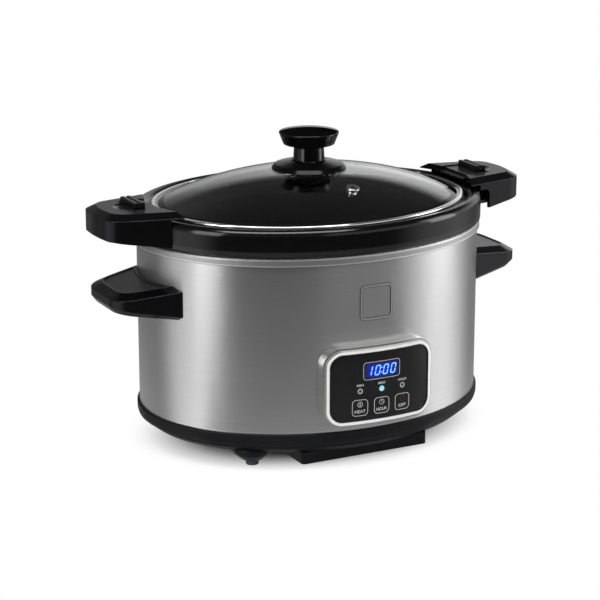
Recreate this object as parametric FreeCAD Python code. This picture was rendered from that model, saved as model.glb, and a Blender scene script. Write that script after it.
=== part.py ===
import FreeCAD, Part
import math
import os

V = FreeCAD.Vector

# Body oval and its thin sheet wall
BODY_HALF_LENGTH = 140.0
BODY_HALF_DEPTH = 112.0
SHEET = 0.8

# Heights of the stack, from the floor up
FLOOR_GAP = 13.0
BASE_HEIGHT = 17.6
SHELL_HEIGHT = 135.0
FLANGE_THICK = 2.0
RIM_HEIGHT = 21.0
LEDGE_DROP = 3.9

# Running and assembly clearances
FIT_GAP = 0.3
SLIDE_GAP = 0.2
SCREW_GAP = 0.2

# Heating well
SKIRT_PROUD = 1.8
SKIRT_DROP = 4.6
WELL_TOP_INSET = 10.0
WELL_FOOT_INSET = 19.0
WELL_SHEET = 1.2
WELL_RISE = 9.4

# Stoneware pot
RIM_PROUD = 2.5
CREST_INSET = 6.5
CROCK_SIDE_GAP = 2.0
CROCK_WALL = 8.0
CROCK_TAPER = 10.0
CROCK_FLOOR = 8.0
CROCK_LIFT_GAP = 4.0
LUG_LENGTH = 23.5
LUG_HALF = 22.0
LUG_HEIGHT = 9.5
LUG_UP = 9.4

# Glass lid
LID_GAP = 1.4
RING_HEIGHT = 4.3
RING_WIDTH = 3.2
RING_SHEET = 1.1
GLASS_EDGE = 2.4
GLASS_THICK = 3.8
DOME_RISE = 23.8
DOME_INSET = 4.5
DOME_POWER = 2.2
VENT_X = 8.0
VENT_SETBACK = 54.0
VENT_GRIP = 5.0
VENT_HOLE = 1.6
VENT_BODY = 3.4
VENT_COLLAR = 5.2

# Lid knob
FLANGE_RADIUS = 29.4
FLANGE_CONE = 6.0
FLANGE_EDGE = 1.0
FLANGE_LIP = 2.4
FLANGE_SHOULDER = 3.4
STEM_RADIUS = 12.3
STEM_HEIGHT = 13.0
HEAD_UNDER_RADIUS = 20.0
HEAD_RADIUS = 24.0
HEAD_SIDE = 10.0
HEAD_DOME = 1.8
KNOB_SCREW = 2.5
KNOB_SCREW_LENGTH = 26.0

# Base pan
BASE_PROUD = 2.0
BASE_WALL = 2.5
BASE_STEP_IN = 5.5
BASE_STEP_UP = 7.6
BASE_FOOT_INSET = 12.5
RIB_HEIGHT = 4.0
RIB_WIDTH = 1.9
STUD_RADIUS = 2.5
SPACER_RADIUS = 6.0
SHIELD_INSET = 22.0
SHIELD_Z_UP = 20.0

# Rubber feet, set in from the ends and from the front and back
FOOT_RADIUS = 5.0
FOOT_STEM = 3.0
FOOT_END_INSET = 56.8
FOOT_SIDE_INSET = 44.0
FOOT_INNER_END = 68.0
FOOT_INNER_SIDE = 62.0
BOSS_RADIUS = 16.0
BOSS_DROP = 8.5

# Control box under the front edge
BOX_HALF = 54.5
BOX_SETBACK = 15.0
BOX_DEPTH = 65.0
BOX_GAP = 3.6
BOX_WALL = 2.0
BOX_SCREW_X = 47.0
BOX_SCREW_FRONT = 7.0
BOX_SCREW_BACK = 7.0
BOARD_THICK = 1.6

# Control panel on the front wall
PANEL_Z = 67.3
PANEL_HALF_W = 42.0
PANEL_HALF_H = 26.2
PANEL_CORNER = 10.0
PANEL_THICK = 2.6
PANEL_SINK = 1.0
BEZEL_BORDER = 4.8
BEZEL_DEPTH = 10.5
BEZEL_CHAMFER = 2.0
COLLAR_WALL = 1.5
SEAT_WIDTH = 2.2
COLLAR_INSIDE = 7.0
PANEL_SCREW_INSET = 2.6
KEY_HALF = 6.8
KEY_CORNER = 3.4
KEY_PITCH = 18.1
KEY_Z = 50.9
KEY_LIP = 0.6
KEY_STEM = 2.0
KEY_REACH = 0.8
LIGHT_Z = 64.0
LIGHT_RADIUS = 2.1
WINDOW_HALF_W = 14.8
WINDOW_HALF_H = 6.1
WINDOW_CORNER = 1.6
WINDOW_Z = 79.0
SWITCH_SIDE = 6.0
SWITCH_DEPTH = 3.6

# Plain square frame stamped in the shell
BADGE_HALF_W = 13.6
BADGE_HALF_H = 13.4
BADGE_CORNER = 4.0
BADGE_RIM = 1.3
BADGE_Z = 129.5
BADGE_RISE = 0.6

# Heater parts
BAND_Z = 100.0
BAND_HEIGHT = 44.0
BAND_THICK = 2.4
BAND_SPLIT = 10.0

# Side handles on the shell
HANDLE_REACH = 37.5
HANDLE_ROOT = 24.0
HANDLE_HALF = 31.5
HANDLE_ROOT_HALF = 47.6
HANDLE_CORNER = 20.0
HANDLE_TOP_Z = 138.2
HANDLE_TOP_TIP = 133.6
HANDLE_EDGE_DROP = 3.6
HANDLE_BEVEL = 7.0
HANDLE_PANEL_RIM = 1.6
HANDLE_PANEL_SINK = 0.7
HANDLE_LOW_Z = 115.0
HANDLE_LOW_TIP = 120.2
HANDLE_WALL = 3.0
HANDLE_SCREW_Y = 22.0
HANDLE_SCREW_Z = 125.5
HANDLE_SCREW_REACH = 8.0

# Lock handles on the pot ends
LOCK_REACH = 39.5
LOCK_BOW = 3.0
LOCK_ROOT = 34.0
LOCK_HALF = 29.5
LOCK_ROOT_HALF = 44.5
LOCK_CORNER = 18.0
LOCK_CLEAR = 2.3
LOCK_EDGE_UP = 3.2
LOCK_TOP_UP = 7.2
LOCK_BEVEL = 6.5
LOCK_LOW_Z = 170.2
LOCK_LOW_TIP = 176.2
LOCK_WALL = 3.0
LOCK_NECK = 8.0
LOCK_PLATE = 2.5
LOCK_SCREW_OUT = 17.0
LOCK_SCREW_Y = 26.8
NOTCH_REACH = 4.5

# Sliding latch
LATCH_HALF = 18.8
LATCH_RAIL = 2.4
LATCH_RAIL_THICK = 1.7
LATCH_BODY = 3.9
LATCH_FRONT = 5.2
LATCH_BACK = 14.6
TONGUE_HALF = 18.0
TONGUE_REACH = 5.0
RIDGE_HEIGHT = 5.6
RIDGE_LENGTH = 3.6
RIDGE_VALLEY = 1.4
RIDGE_HALF = 13.8

# Cord gland in the back wall
GLAND_Z = 24.0
GLAND_BORE = 3.4
GLAND_RADIUS = 5.2
GLAND_COLLAR = 7.4
GLAND_FLANGE = 1.2
GLAND_SEAT = 10.0

# Levels and outlines that follow from the values above
SEAM_Z = FLOOR_GAP + BASE_HEIGHT
FLANGE_UNDER = SEAM_Z + SHELL_HEIGHT
SEAT_Z = FLANGE_UNDER + FLANGE_THICK
CREST_Z = SEAT_Z + RIM_HEIGHT
LEDGE_Z = CREST_Z - LEDGE_DROP
WELL_Z = SEAM_Z + WELL_RISE
RATIO = BODY_HALF_DEPTH / BODY_HALF_LENGTH
SHELL_INNER = BODY_HALF_LENGTH - SHEET
WELL_TOP = BODY_HALF_LENGTH - WELL_TOP_INSET
WELL_FOOT = BODY_HALF_LENGTH - WELL_FOOT_INSET
RIM_OUTER = BODY_HALF_LENGTH + RIM_PROUD
CREST_RADIUS = RIM_OUTER - CREST_INSET
LEDGE_OUTER = CREST_RADIUS - CREST_INSET
RING_OUTER = LEDGE_OUTER - LID_GAP
CROCK_TOP = WELL_TOP - CROCK_SIDE_GAP
PANEL_FACE = BODY_HALF_LENGTH + (BEZEL_DEPTH - PANEL_SINK) / RATIO
PANEL_BACK = PANEL_FACE - PANEL_THICK / RATIO
BEZEL_FACE = BODY_HALF_LENGTH + BEZEL_DEPTH / RATIO
FRONT_Y = -2.0 * BODY_HALF_DEPTH
INSIDE_Y = -0.75 * BODY_HALF_DEPTH
COLLAR_BACK = COLLAR_INSIDE - BODY_HALF_DEPTH
BOX_FRONT = BOX_SETBACK - BODY_HALF_DEPTH
BOX_BACK = BOX_FRONT + BOX_DEPTH
VENT_Y = VENT_SETBACK - BODY_HALF_DEPTH
BOARD_BACK = COLLAR_BACK + BOARD_THICK
SWITCH_FACE = COLLAR_BACK - SWITCH_DEPTH
BOARD_Z = BOX_GAP + 2 * BOX_WALL
BOARD_TOP = BOARD_Z + BOARD_THICK
SHIELD_Z = FLOOR_GAP + SHIELD_Z_UP
HANDLE_X = BODY_HALF_LENGTH + HANDLE_REACH
LOCK_X = BODY_HALF_LENGTH + LOCK_REACH
LOCK_EDGE_Z = CREST_Z + LOCK_EDGE_UP
LOCK_TOP_Z = CREST_Z + LOCK_TOP_UP
LUG_Z = SEAT_Z + LUG_UP
LOCK_CEILING = CREST_Z + LOCK_CLEAR
LOCK_SCREW_X = BODY_HALF_LENGTH + LOCK_SCREW_OUT
LATCH_Z = LOCK_CEILING + SLIDE_GAP
LATCH_TOP = LATCH_Z + LATCH_BODY
LATCH_INNER = BODY_HALF_LENGTH - LATCH_FRONT
LATCH_OUTER = BODY_HALF_LENGTH + LATCH_BACK
GLASS_LOW = LEDGE_Z + RING_SHEET
GLASS_OUTER = RING_OUTER - RING_SHEET
DOME_EDGE = GLASS_OUTER - DOME_INSET
APEX_Z = GLASS_LOW + GLASS_EDGE + DOME_RISE
FLANGE_Z = APEX_Z - FLANGE_EDGE
CONE_Z = FLANGE_Z + FLANGE_CONE
HEAD_Z = CONE_Z + STEM_HEIGHT
FOOT_X = BODY_HALF_LENGTH - FOOT_END_INSET
FOOT_Y = BODY_HALF_DEPTH - FOOT_SIDE_INSET
FOOT_PLACES = {
    "front_left": (-FOOT_X, -FOOT_Y),
    "front_right": (BODY_HALF_LENGTH - FOOT_INNER_END, FOOT_INNER_SIDE - BODY_HALF_DEPTH),
    "back_left": (-FOOT_X, FOOT_Y),
    "back_right": (FOOT_X, FOOT_Y),
}


def outline(corners, place):
    """Closed wire through corners given as (u, v) or (u, v, radius)."""
    points = [(tuple(c) + (0.0,))[:3] for c in corners]
    bends = []
    for i, (u, v, radius) in enumerate(points):
        if radius == 0.0:
            bends.append(((u, v), None, (u, v)))
            continue
        before = points[i - 1]
        after = points[(i + 1) % len(points)]
        run_a = math.hypot(before[0] - u, before[1] - v)
        run_b = math.hypot(after[0] - u, after[1] - v)
        ax, ay = (before[0] - u) / run_a, (before[1] - v) / run_a
        bx, by = (after[0] - u) / run_b, (after[1] - v) / run_b
        half = 0.5 * math.acos(ax * bx + ay * by)
        back = radius / math.tan(half)
        reach = radius / math.sin(half) - radius
        size = math.hypot(ax + bx, ay + by)
        middle = (u + (ax + bx) / size * reach, v + (ay + by) / size * reach)
        bends.append(((u + ax * back, v + ay * back), middle, (u + bx * back, v + by * back)))
    edges = []
    for i, (start, middle, end) in enumerate(bends):
        if middle:
            edges.append(Part.Arc(place(*start), place(*middle), place(*end)).toShape())
        following = bends[(i + 1) % len(bends)][0]
        if math.dist(end, following) > 1e-6:
            edges.append(Part.makeLine(place(*end), place(*following)))
    return Part.Wire(edges)


def squeeze(shape):
    """Round form pressed to the body's oval."""
    matrix = FreeCAD.Matrix()
    matrix.scale(1.0, RATIO, 1.0)
    return shape.transformGeometry(matrix)


def turned(profile, x=0.0, y=0.0):
    """Round solid about an upright axis at (x, y) from a radius and height profile."""
    wire = outline(profile, lambda u, v: V(u, 0, v))
    solid = Part.Face(wire).revolve(V(0, 0, 0), V(0, 0, 1), 360)
    return solid.translated(V(x, y, 0))


def oval(profile):
    """Oval solid from a half length and height profile."""
    return squeeze(turned(profile))


def oval_prism(radius, low, high):
    """Straight oval column, its wall in a front and a back half that meet at the ends."""
    rim = Part.Ellipse(V(0, 0, low), radius, radius * RATIO)
    halves = [rim.toShape(start, start + math.pi) for start in (0, math.pi)]
    return Part.Face(Part.Wire(halves)).extrude(V(0, 0, high - low))


def upright(half_w, half_h, corner, y_front, y_back, x=0.0, z=0.0):
    """Rounded rectangle facing the front, carried back along Y."""
    corners = [(-half_w, -half_h, corner), (half_w, -half_h, corner)]
    corners += [(half_w, half_h, corner), (-half_w, half_h, corner)]
    wire = outline(corners, lambda u, v: V(x + u, y_front, z + v))
    return Part.Face(wire).extrude(V(0, y_back - y_front, 0))


def slab(x0, x1, y0, y1, z0, z1, corner=0.0):
    """Flat block with rounded upright edges."""
    corners = [(x0, y0, corner), (x1, y0, corner), (x1, y1, corner), (x0, y1, corner)]
    wire = outline(corners, lambda u, v: V(u, v, z0))
    return Part.Face(wire).extrude(V(0, 0, z1 - z0))


def rod(radius, start, end):
    """Round bar between two points."""
    run = end - start
    return Part.makeCylinder(radius, run.Length, start, run)


def screw(radius, head_radius, head_height, start, end):
    """Pan head screw: shank from start to end, head behind start, cross recess."""
    run = end - start
    step = V(run) * (1.0 / run.Length)
    head = Part.makeCylinder(head_radius, head_height, start - step * head_height, step)
    body = head.fuse(Part.makeCylinder(radius, run.Length, start, step))
    side = V(0, 0, 1).cross(step) if abs(step.z) < 0.5 else V(1, 0, 0)
    recess = Part.makeBox(1.2 * head_radius, 0.2 * head_radius, 0.6 * head_height)
    recess.translate(V(-0.6 * head_radius, -0.1 * head_radius, 0))
    cross = recess.fuse(recess.rotated(V(0, 0, 0), V(0, 0, 1), 90))
    turn = FreeCAD.Rotation(side, side.cross(step), step, "ZXY")
    cross.Placement = FreeCAD.Placement(start - step * head_height, turn)
    return body.cut(cross).removeSplitter()


def lead(points, radius):
    """Round insulated lead bent through points."""
    edges = []
    last = points[0]
    for i in range(1, len(points) - 1):
        back = (points[i - 1] - points[i]).normalize()
        ahead = (points[i + 1] - points[i]).normalize()
        half = 0.5 * back.getAngle(ahead)
        bend = 3.0 * radius
        run = bend / math.tan(half)
        start = points[i] + back * run
        end = points[i] + ahead * run
        middle = points[i] + (back + ahead).normalize() * (bend / math.sin(half) - bend)
        edges.append(Part.makeLine(last, start))
        edges.append(Part.Arc(start, middle, end).toShape())
        last = end
    edges.append(Part.makeLine(last, points[-1]))
    path = Part.Wire(edges)
    ring = Part.Wire([Part.makeCircle(radius, points[0], points[1] - points[0])])
    return path.makePipeShell([ring], True, False)


def opposite(shape):
    """The same piece turned to the other end of the body."""
    return shape.rotated(V(0, 0, 0), V(0, 0, 1), 180)


def well_radius(z):
    """Inner half length of the heating well at a height."""
    share = (z - WELL_Z) / (SEAT_Z - WELL_Z)
    return WELL_FOOT + share * (WELL_TOP - WELL_FOOT)


def panel_opening(grow):
    """Opening that the bezel collar passes through."""
    half_w = PANEL_HALF_W - SEAT_WIDTH + COLLAR_WALL + grow
    half_h = PANEL_HALF_H - SEAT_WIDTH + COLLAR_WALL + grow
    return half_w, half_h, PANEL_CORNER - SEAT_WIDTH


def handle_screw_places():
    return [V(0, side * HANDLE_SCREW_Y, HANDLE_SCREW_Z) for side in (-1, 1)]


def shell_x(y):
    """Inner face of the shell at a distance from the long axis."""
    return SHELL_INNER * math.sqrt(1 - (y / (SHELL_INNER * RATIO)) ** 2)


def outer_shell():
    body = oval_prism(BODY_HALF_LENGTH, SEAM_Z, FLANGE_UNDER)
    frame = upright(BADGE_HALF_W, BADGE_HALF_H, BADGE_CORNER, FRONT_Y, INSIDE_Y, 0, BADGE_Z)
    half_w, half_h, corner = [size - BADGE_RIM for size in (BADGE_HALF_W, BADGE_HALF_H, BADGE_CORNER)]
    frame = frame.cut(upright(half_w, half_h, corner, FRONT_Y, INSIDE_Y, 0, BADGE_Z))
    raised = oval_prism(BODY_HALF_LENGTH + BADGE_RISE / RATIO, SEAM_Z, FLANGE_UNDER)
    body = body.fuse(raised.common(frame))
    body = body.cut(oval_prism(SHELL_INNER, SEAM_Z - 1, FLANGE_UNDER + 1))
    half_w, half_h, corner = panel_opening(FIT_GAP)
    body = body.cut(upright(half_w, half_h, corner, FRONT_Y, INSIDE_Y, 0, PANEL_Z))
    for place in handle_screw_places():
        inside = V(SHELL_INNER - 10, place.y, place.z)
        hole = rod(2.0 + SCREW_GAP, inside, V(HANDLE_X, place.y, place.z))
        hole = hole.rotated(inside, V(1, 0, 0), 90)
        body = body.cut(hole)
        body = body.cut(opposite(hole))
    return body


def heating_well():
    skirt_in = BODY_HALF_LENGTH + FIT_GAP
    skirt_out = BODY_HALF_LENGTH + SKIRT_PROUD
    profile = [
        (skirt_in, FLANGE_UNDER - SKIRT_DROP),
        (skirt_out, FLANGE_UNDER - SKIRT_DROP, 0.5),
        (skirt_out, SEAT_Z, 2.2),
        (WELL_TOP, SEAT_Z, 1.5),
        (WELL_FOOT, WELL_Z, 8.0),
        (0, WELL_Z),
        (0, WELL_Z - WELL_SHEET),
        (WELL_FOOT + WELL_SHEET, WELL_Z - WELL_SHEET, 9.0),
        (WELL_TOP + WELL_SHEET, FLANGE_UNDER),
        (skirt_in, FLANGE_UNDER),
    ]
    return oval(profile)


def base_pan():
    outer = BODY_HALF_LENGTH + BASE_PROUD
    rib_out = SHELL_INNER - FIT_GAP
    rib_in = rib_out - RIB_WIDTH
    low_in = outer - BASE_FOOT_INSET
    tier = outer - BASE_STEP_IN
    step_z = FLOOR_GAP + BASE_STEP_UP
    profile = [
        (0, FLOOR_GAP),
        (low_in, FLOOR_GAP, 3.0),
        (tier - 0.6, step_z - 3.0, 3.0),
        (tier, step_z),
        (outer - 1.0, step_z + 0.6, 1.5),
        (outer, step_z + 4.0, 3.0),
        (outer, SEAM_Z, 1.2),
        (rib_out, SEAM_Z),
        (rib_out, SEAM_Z + RIB_HEIGHT),
        (rib_in, SEAM_Z + RIB_HEIGHT),
        (rib_in, step_z + BASE_WALL + 1.0, 2.0),
        (tier - 2 * BASE_WALL, step_z, 3.0),
        (low_in - BASE_WALL, FLOOR_GAP + BASE_WALL, 3.0),
        (0, FLOOR_GAP + BASE_WALL),
    ]
    body = oval(profile)
    floor_z = FLOOR_GAP - BOSS_DROP
    boss = [
        (0, FLOOR_GAP + 2 * BASE_WALL),
        (BOSS_RADIUS - 5.0, FLOOR_GAP + 2 * BASE_WALL),
        (BOSS_RADIUS, FLOOR_GAP + 1.5, 3.0),
        (BOSS_RADIUS - 1.0, FLOOR_GAP - 0.3 * BOSS_DROP, 6.0),
        (FOOT_RADIUS + 3.0, floor_z, 3.0),
        (0, floor_z),
    ]
    for x, y in FOOT_PLACES.values():
        body = body.fuse(turned(boss, x, y))
    for x, y in FOOT_PLACES.values():
        body = body.cut(rod(FOOT_STEM + FIT_GAP, V(x, y, floor_z - 1), V(x, y, floor_z + 7)))
    for x, y in box_screw_places():
        body = body.fuse(rod(4.0, V(x, y, FLOOR_GAP + 1), V(x, y, FLOOR_GAP + 10)))
    for x, y in box_screw_places():
        body = body.cut(rod(1.5 + SCREW_GAP, V(x, y, FLOOR_GAP - 1), V(x, y, FLOOR_GAP + 9)))
    wide = BOX_HALF - 13
    body = body.cut(slab(-wide, wide, BOX_FRONT + 10, BOX_BACK - 10, FLOOR_GAP - 1, FLOOR_GAP + 5, 3))
    body = body.cut(rod(STUD_RADIUS + FIT_GAP, V(0, 0, 0), V(0, 0, SEAM_Z)))
    wall = RATIO * outer
    flange = GLAND_RADIUS + GLAND_FLANGE + FIT_GAP
    body = body.cut(rod(GLAND_RADIUS + FIT_GAP, V(0, -INSIDE_Y, GLAND_Z), V(0, wall + 5, GLAND_Z)))
    body = body.cut(rod(flange, V(0, -INSIDE_Y, GLAND_Z), V(0, wall - GLAND_SEAT + FIT_GAP, GLAND_Z)))
    return body.removeSplitter()


def rubber_foot(x, y):
    top = FLOOR_GAP - BOSS_DROP
    profile = [
        (0, 0),
        (FOOT_RADIUS, 0, 0.8),
        (FOOT_RADIUS, top),
        (FOOT_STEM, top),
        (FOOT_STEM, top + 6),
        (0, top + 6),
    ]
    return turned(profile, x, y)


def box_screw_places():
    rows = (BOX_FRONT + BOX_SCREW_FRONT, BOX_BACK - BOX_SCREW_BACK)
    return [(side * BOX_SCREW_X, y) for side in (-1, 1) for y in rows]


def control_box():
    body = slab(-BOX_HALF, BOX_HALF, BOX_FRONT, BOX_BACK, BOX_GAP, FLOOR_GAP, 3.0)
    inner = BOX_HALF - BOX_WALL
    low = BOX_GAP + BOX_WALL
    front, back = BOX_FRONT + BOX_WALL, BOX_BACK - BOX_WALL
    body = body.cut(slab(-inner, inner, front, back, low, FLOOR_GAP + 1, 1.5))
    for x, y in box_screw_places():
        body = body.fuse(rod(4.5, V(x, y, BOX_GAP), V(x, y, FLOOR_GAP)))
    for x, y in box_screw_places():
        body = body.cut(rod(1.5 + SCREW_GAP, V(x, y, BOX_GAP - 1), V(x, y, FLOOR_GAP + 1)))
        body = body.cut(rod(3.0 + SCREW_GAP, V(x, y, BOX_GAP - 1), V(x, y, BOX_GAP + 2.4)))
    for x, y in board_post_places():
        body = body.fuse(rod(2.4, V(x, y, low - 0.5), V(x, y, BOARD_Z)))
        body = body.fuse(rod(1.2, V(x, y, BOARD_Z - 0.5), V(x, y, BOARD_TOP + 0.8)))
    for x in (-24, -16, -8, 8, 16, 24):
        body = body.cut(slab(x - 1.2, x + 1.2, BOX_BACK - 16, BOX_BACK - 6, BOX_GAP - 1, low + 1, 1.1))
    return body.removeSplitter()


def box_screws():
    out = []
    for x, y in box_screw_places():
        out.append(screw(1.5, 3.0, 2.0, V(x, y, BOX_GAP + 2.4), V(x, y, FLOOR_GAP + 8)))
    return out


def board_post_places():
    return [(side * 36, y) for side in (-1, 1) for y in (BOX_FRONT + 12, BOX_BACK - 12)]


def power_board():
    body = slab(-39, 39, BOX_FRONT + 9, BOX_BACK - 9, BOARD_Z, BOARD_TOP, 1.0)
    for x, y in board_post_places():
        body = body.cut(rod(1.2 + SCREW_GAP, V(x, y, 0), V(x, y, SEAM_Z)))
    return body


def relay():
    body = slab(-30, -11, BOX_BACK - 29, BOX_BACK - 13, BOARD_TOP, BOARD_TOP + 15, 0.8)
    return body.makeFillet(0.8, body.Faces[-1].OuterWire.Edges)


def transformer():
    core = slab(4, 30, BOX_BACK - 38, BOX_BACK - 14, BOARD_TOP + 2, BOARD_TOP + 19, 0.5)
    bobbin = slab(8, 26, BOX_BACK - 36, BOX_BACK - 16, BOARD_TOP, BOARD_TOP + 21, 4.0)
    return core.fuse(bobbin).removeSplitter()


def capacitor():
    profile = [(0, BOARD_TOP), (5.0, BOARD_TOP, 0.6), (5.0, BOARD_TOP + 13, 0.8), (0, BOARD_TOP + 13)]
    body = turned(profile, -6.0, BOX_FRONT + 30)
    low, high = BOARD_TOP + 1.6, BOARD_TOP + 2.4
    groove = turned([(4.6, low), (6, low), (6, high), (4.6, high)])
    return body.cut(groove.translated(V(-6.0, BOX_FRONT + 30, 0)))


def terminal_block():
    top = BOARD_TOP + 10
    body = slab(-34, -14, BOX_FRONT + 16, BOX_FRONT + 26, BOARD_TOP, top, 0.6)
    for x in (-29, -19):
        body = body.cut(rod(2.6, V(x, BOX_FRONT + 22, top - 3), V(x, BOX_FRONT + 22, top + 1)))
        body = body.cut(rod(2.0, V(x, BOX_FRONT + 10, BOARD_TOP + 4), V(x, BOX_FRONT + 21, BOARD_TOP + 4)))
    return body


def control_bezel():
    half_w = PANEL_HALF_W + BEZEL_BORDER
    half_h = PANEL_HALF_H + BEZEL_BORDER
    corner = PANEL_CORNER + BEZEL_BORDER
    step = BEZEL_CHAMFER
    full = upright(half_w, half_h, corner, FRONT_Y, INSIDE_Y, 0, PANEL_Z)
    front = upright(half_w - step, half_h - step, corner - step, FRONT_Y, INSIDE_Y, 0, PANEL_Z)
    low, high = PANEL_Z - 50, PANEL_Z + 50
    body = full.common(oval_prism(BEZEL_FACE - step / RATIO, low, high))
    body = body.fuse(front.common(oval_prism(BEZEL_FACE, low, high)))
    body = body.cut(oval_prism(BODY_HALF_LENGTH + FIT_GAP, low, high))
    wide, tall, round_in = panel_opening(0)
    collar = upright(wide, tall, round_in, FRONT_Y, COLLAR_BACK, 0, PANEL_Z)
    body = body.fuse(collar.common(oval_prism(PANEL_BACK - 1, low, high)))
    mouth_w = wide - COLLAR_WALL
    mouth_h = tall - COLLAR_WALL
    body = body.cut(upright(mouth_w, mouth_h, round_in - COLLAR_WALL, FRONT_Y, INSIDE_Y, 0, PANEL_Z))
    seat_w, seat_h = PANEL_HALF_W + SLIDE_GAP, PANEL_HALF_H + SLIDE_GAP
    seat = upright(seat_w, seat_h, PANEL_CORNER, FRONT_Y, INSIDE_Y, 0, PANEL_Z)
    body = body.cut(seat.cut(oval_prism(PANEL_BACK - SLIDE_GAP, low, high)))
    for x, z in panel_screw_places():
        body = body.fuse(rod(2.6, V(x, COLLAR_BACK - 7, z), V(x, COLLAR_BACK, z)))
    for x, z in panel_screw_places():
        body = body.cut(rod(1.1 + SCREW_GAP, V(x, COLLAR_BACK - 6, z), V(x, COLLAR_BACK + 1, z)))
    return body.removeSplitter()


def panel_screw_places():
    x = PANEL_HALF_W - SEAT_WIDTH - PANEL_SCREW_INSET
    z = PANEL_HALF_H - SEAT_WIDTH - PANEL_SCREW_INSET
    return [(a * x, PANEL_Z + b * z) for a in (-1, 1) for b in (-1, 1)]


def control_panel():
    low, high = PANEL_Z - 50, PANEL_Z + 50
    body = upright(PANEL_HALF_W, PANEL_HALF_H, PANEL_CORNER, FRONT_Y, INSIDE_Y, 0, PANEL_Z)
    body = body.common(oval_prism(PANEL_FACE, low, high)).cut(oval_prism(PANEL_BACK, low, high))
    grow = SLIDE_GAP
    half_w, half_h = WINDOW_HALF_W + grow, WINDOW_HALF_H + grow
    body = body.cut(upright(half_w, half_h, WINDOW_CORNER, FRONT_Y, INSIDE_Y, 0, WINDOW_Z))
    for column in (-1, 0, 1):
        x = column * KEY_PITCH
        body = body.cut(upright(KEY_HALF + grow, KEY_HALF + grow, KEY_CORNER, FRONT_Y, INSIDE_Y, x, KEY_Z))
        body = body.cut(rod(LIGHT_RADIUS + 0.1, V(x, FRONT_Y, LIGHT_Z), V(x, INSIDE_Y, LIGHT_Z)))
    return body


def display_window():
    low, high = PANEL_Z - 50, PANEL_Z + 50
    body = upright(WINDOW_HALF_W, WINDOW_HALF_H, WINDOW_CORNER, FRONT_Y, INSIDE_Y, 0, WINDOW_Z)
    return body.common(oval_prism(PANEL_FACE, low, high)).cut(oval_prism(PANEL_BACK, low, high))


def display_module():
    half = WINDOW_HALF_W + 2.0
    face = -RATIO * math.sqrt(PANEL_BACK ** 2 - half ** 2) + FIT_GAP
    body = upright(half, WINDOW_HALF_H + 1.8, 0.8, face, COLLAR_BACK, 0, WINDOW_Z)
    recess = upright(WINDOW_HALF_W, WINDOW_HALF_H, 0.6, face - 1, face + 0.8, 0, WINDOW_Z)
    return body.cut(recess)


def panel_key(column):
    x = column * KEY_PITCH
    low, high = PANEL_Z - 50, PANEL_Z + 50
    lip = PANEL_BACK - FIT_GAP / RATIO
    inner = lip - 1.8 / RATIO
    cap = upright(KEY_HALF, KEY_HALF, KEY_CORNER, FRONT_Y, INSIDE_Y, x, KEY_Z)
    cap = cap.common(oval_prism(PANEL_FACE, low, high)).cut(oval_prism(inner, low, high))
    half = KEY_HALF + KEY_LIP
    flange = upright(half, half, KEY_CORNER + KEY_LIP, FRONT_Y, INSIDE_Y, x, KEY_Z)
    flange = flange.common(oval_prism(lip, low, high)).cut(oval_prism(inner, low, high))
    stem = rod(KEY_STEM, V(x, -RATIO * lip + 1.0, KEY_Z), V(x, SWITCH_FACE - KEY_REACH, KEY_Z))
    if column:
        stem = rod(KEY_STEM, V(x, -RATIO * lip + 1.8, KEY_Z), V(x, SWITCH_FACE - KEY_REACH, KEY_Z))
    return cap.fuse(flange).fuse(stem).removeSplitter()


def indicator_light(column):
    x = column * KEY_PITCH
    body = rod(LIGHT_RADIUS, V(x, FRONT_Y, LIGHT_Z), V(x, COLLAR_BACK - 2.0, LIGHT_Z))
    body = body.common(oval_prism(PANEL_FACE, PANEL_Z - 50, PANEL_Z + 50))
    led = upright(1.6, 1.6, 0.3, COLLAR_BACK - 2.0, COLLAR_BACK, x, LIGHT_Z)
    return body.fuse(led)


def control_board():
    wide, tall, corner = panel_opening(0)
    body = upright(wide, tall, corner, COLLAR_BACK, BOARD_BACK, 0, PANEL_Z)
    for x, z in panel_screw_places():
        body = body.cut(rod(1.1 + SCREW_GAP, V(x, FRONT_Y, z), V(x, INSIDE_Y, z)))
    return body


def board_fixings():
    out = []
    for x, z in panel_screw_places():
        out.append(screw(1.1, 2.0, 0.9, V(x, BOARD_BACK, z), V(x, COLLAR_BACK - 5, z)))
    return out


def tact_switches():
    out = []
    half = SWITCH_SIDE / 2
    for column in (-1, 0, 1):
        x = column * KEY_PITCH
        body = upright(half, half, 0.4, SWITCH_FACE + 1.0, COLLAR_BACK, x, KEY_Z)
        out.append(body.fuse(rod(1.6, V(x, SWITCH_FACE, KEY_Z), V(x, SWITCH_FACE + 1.0, KEY_Z))))
    return out


def ribbon_cable():
    high = PANEL_Z - 19.3
    drop = BOARD_BACK + 2.9
    path = [(BOARD_BACK, high), (drop, high - 2.0), (drop, SEAM_Z - 2.0)]
    path += [(BOX_FRONT + 12.0, BOARD_TOP + 12.0), (BOX_FRONT + 15.0, BOARD_TOP)]
    back = [(y + 0.9, z) for y, z in reversed(path)]
    back[-1] = (BOARD_BACK, high + 2.5)
    back[-2] = (drop + 0.9, high - 0.4)
    wire = outline(path + back, lambda u, v: V(-3, u, v))
    return Part.Face(wire).extrude(V(22, 0, 0))


def heater_band():
    high = BAND_Z + BAND_HEIGHT
    low_r = well_radius(BAND_Z) + WELL_SHEET + FIT_GAP
    high_r = well_radius(high) + WELL_SHEET + FIT_GAP
    profile = [(low_r, BAND_Z), (low_r + BAND_THICK, BAND_Z), (high_r + BAND_THICK, high), (high_r, high)]
    body = oval(profile)
    return body.cut(slab(-BAND_SPLIT / 2, BAND_SPLIT / 2, 0, -FRONT_Y, BAND_Z - 1, high + 1))


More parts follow.
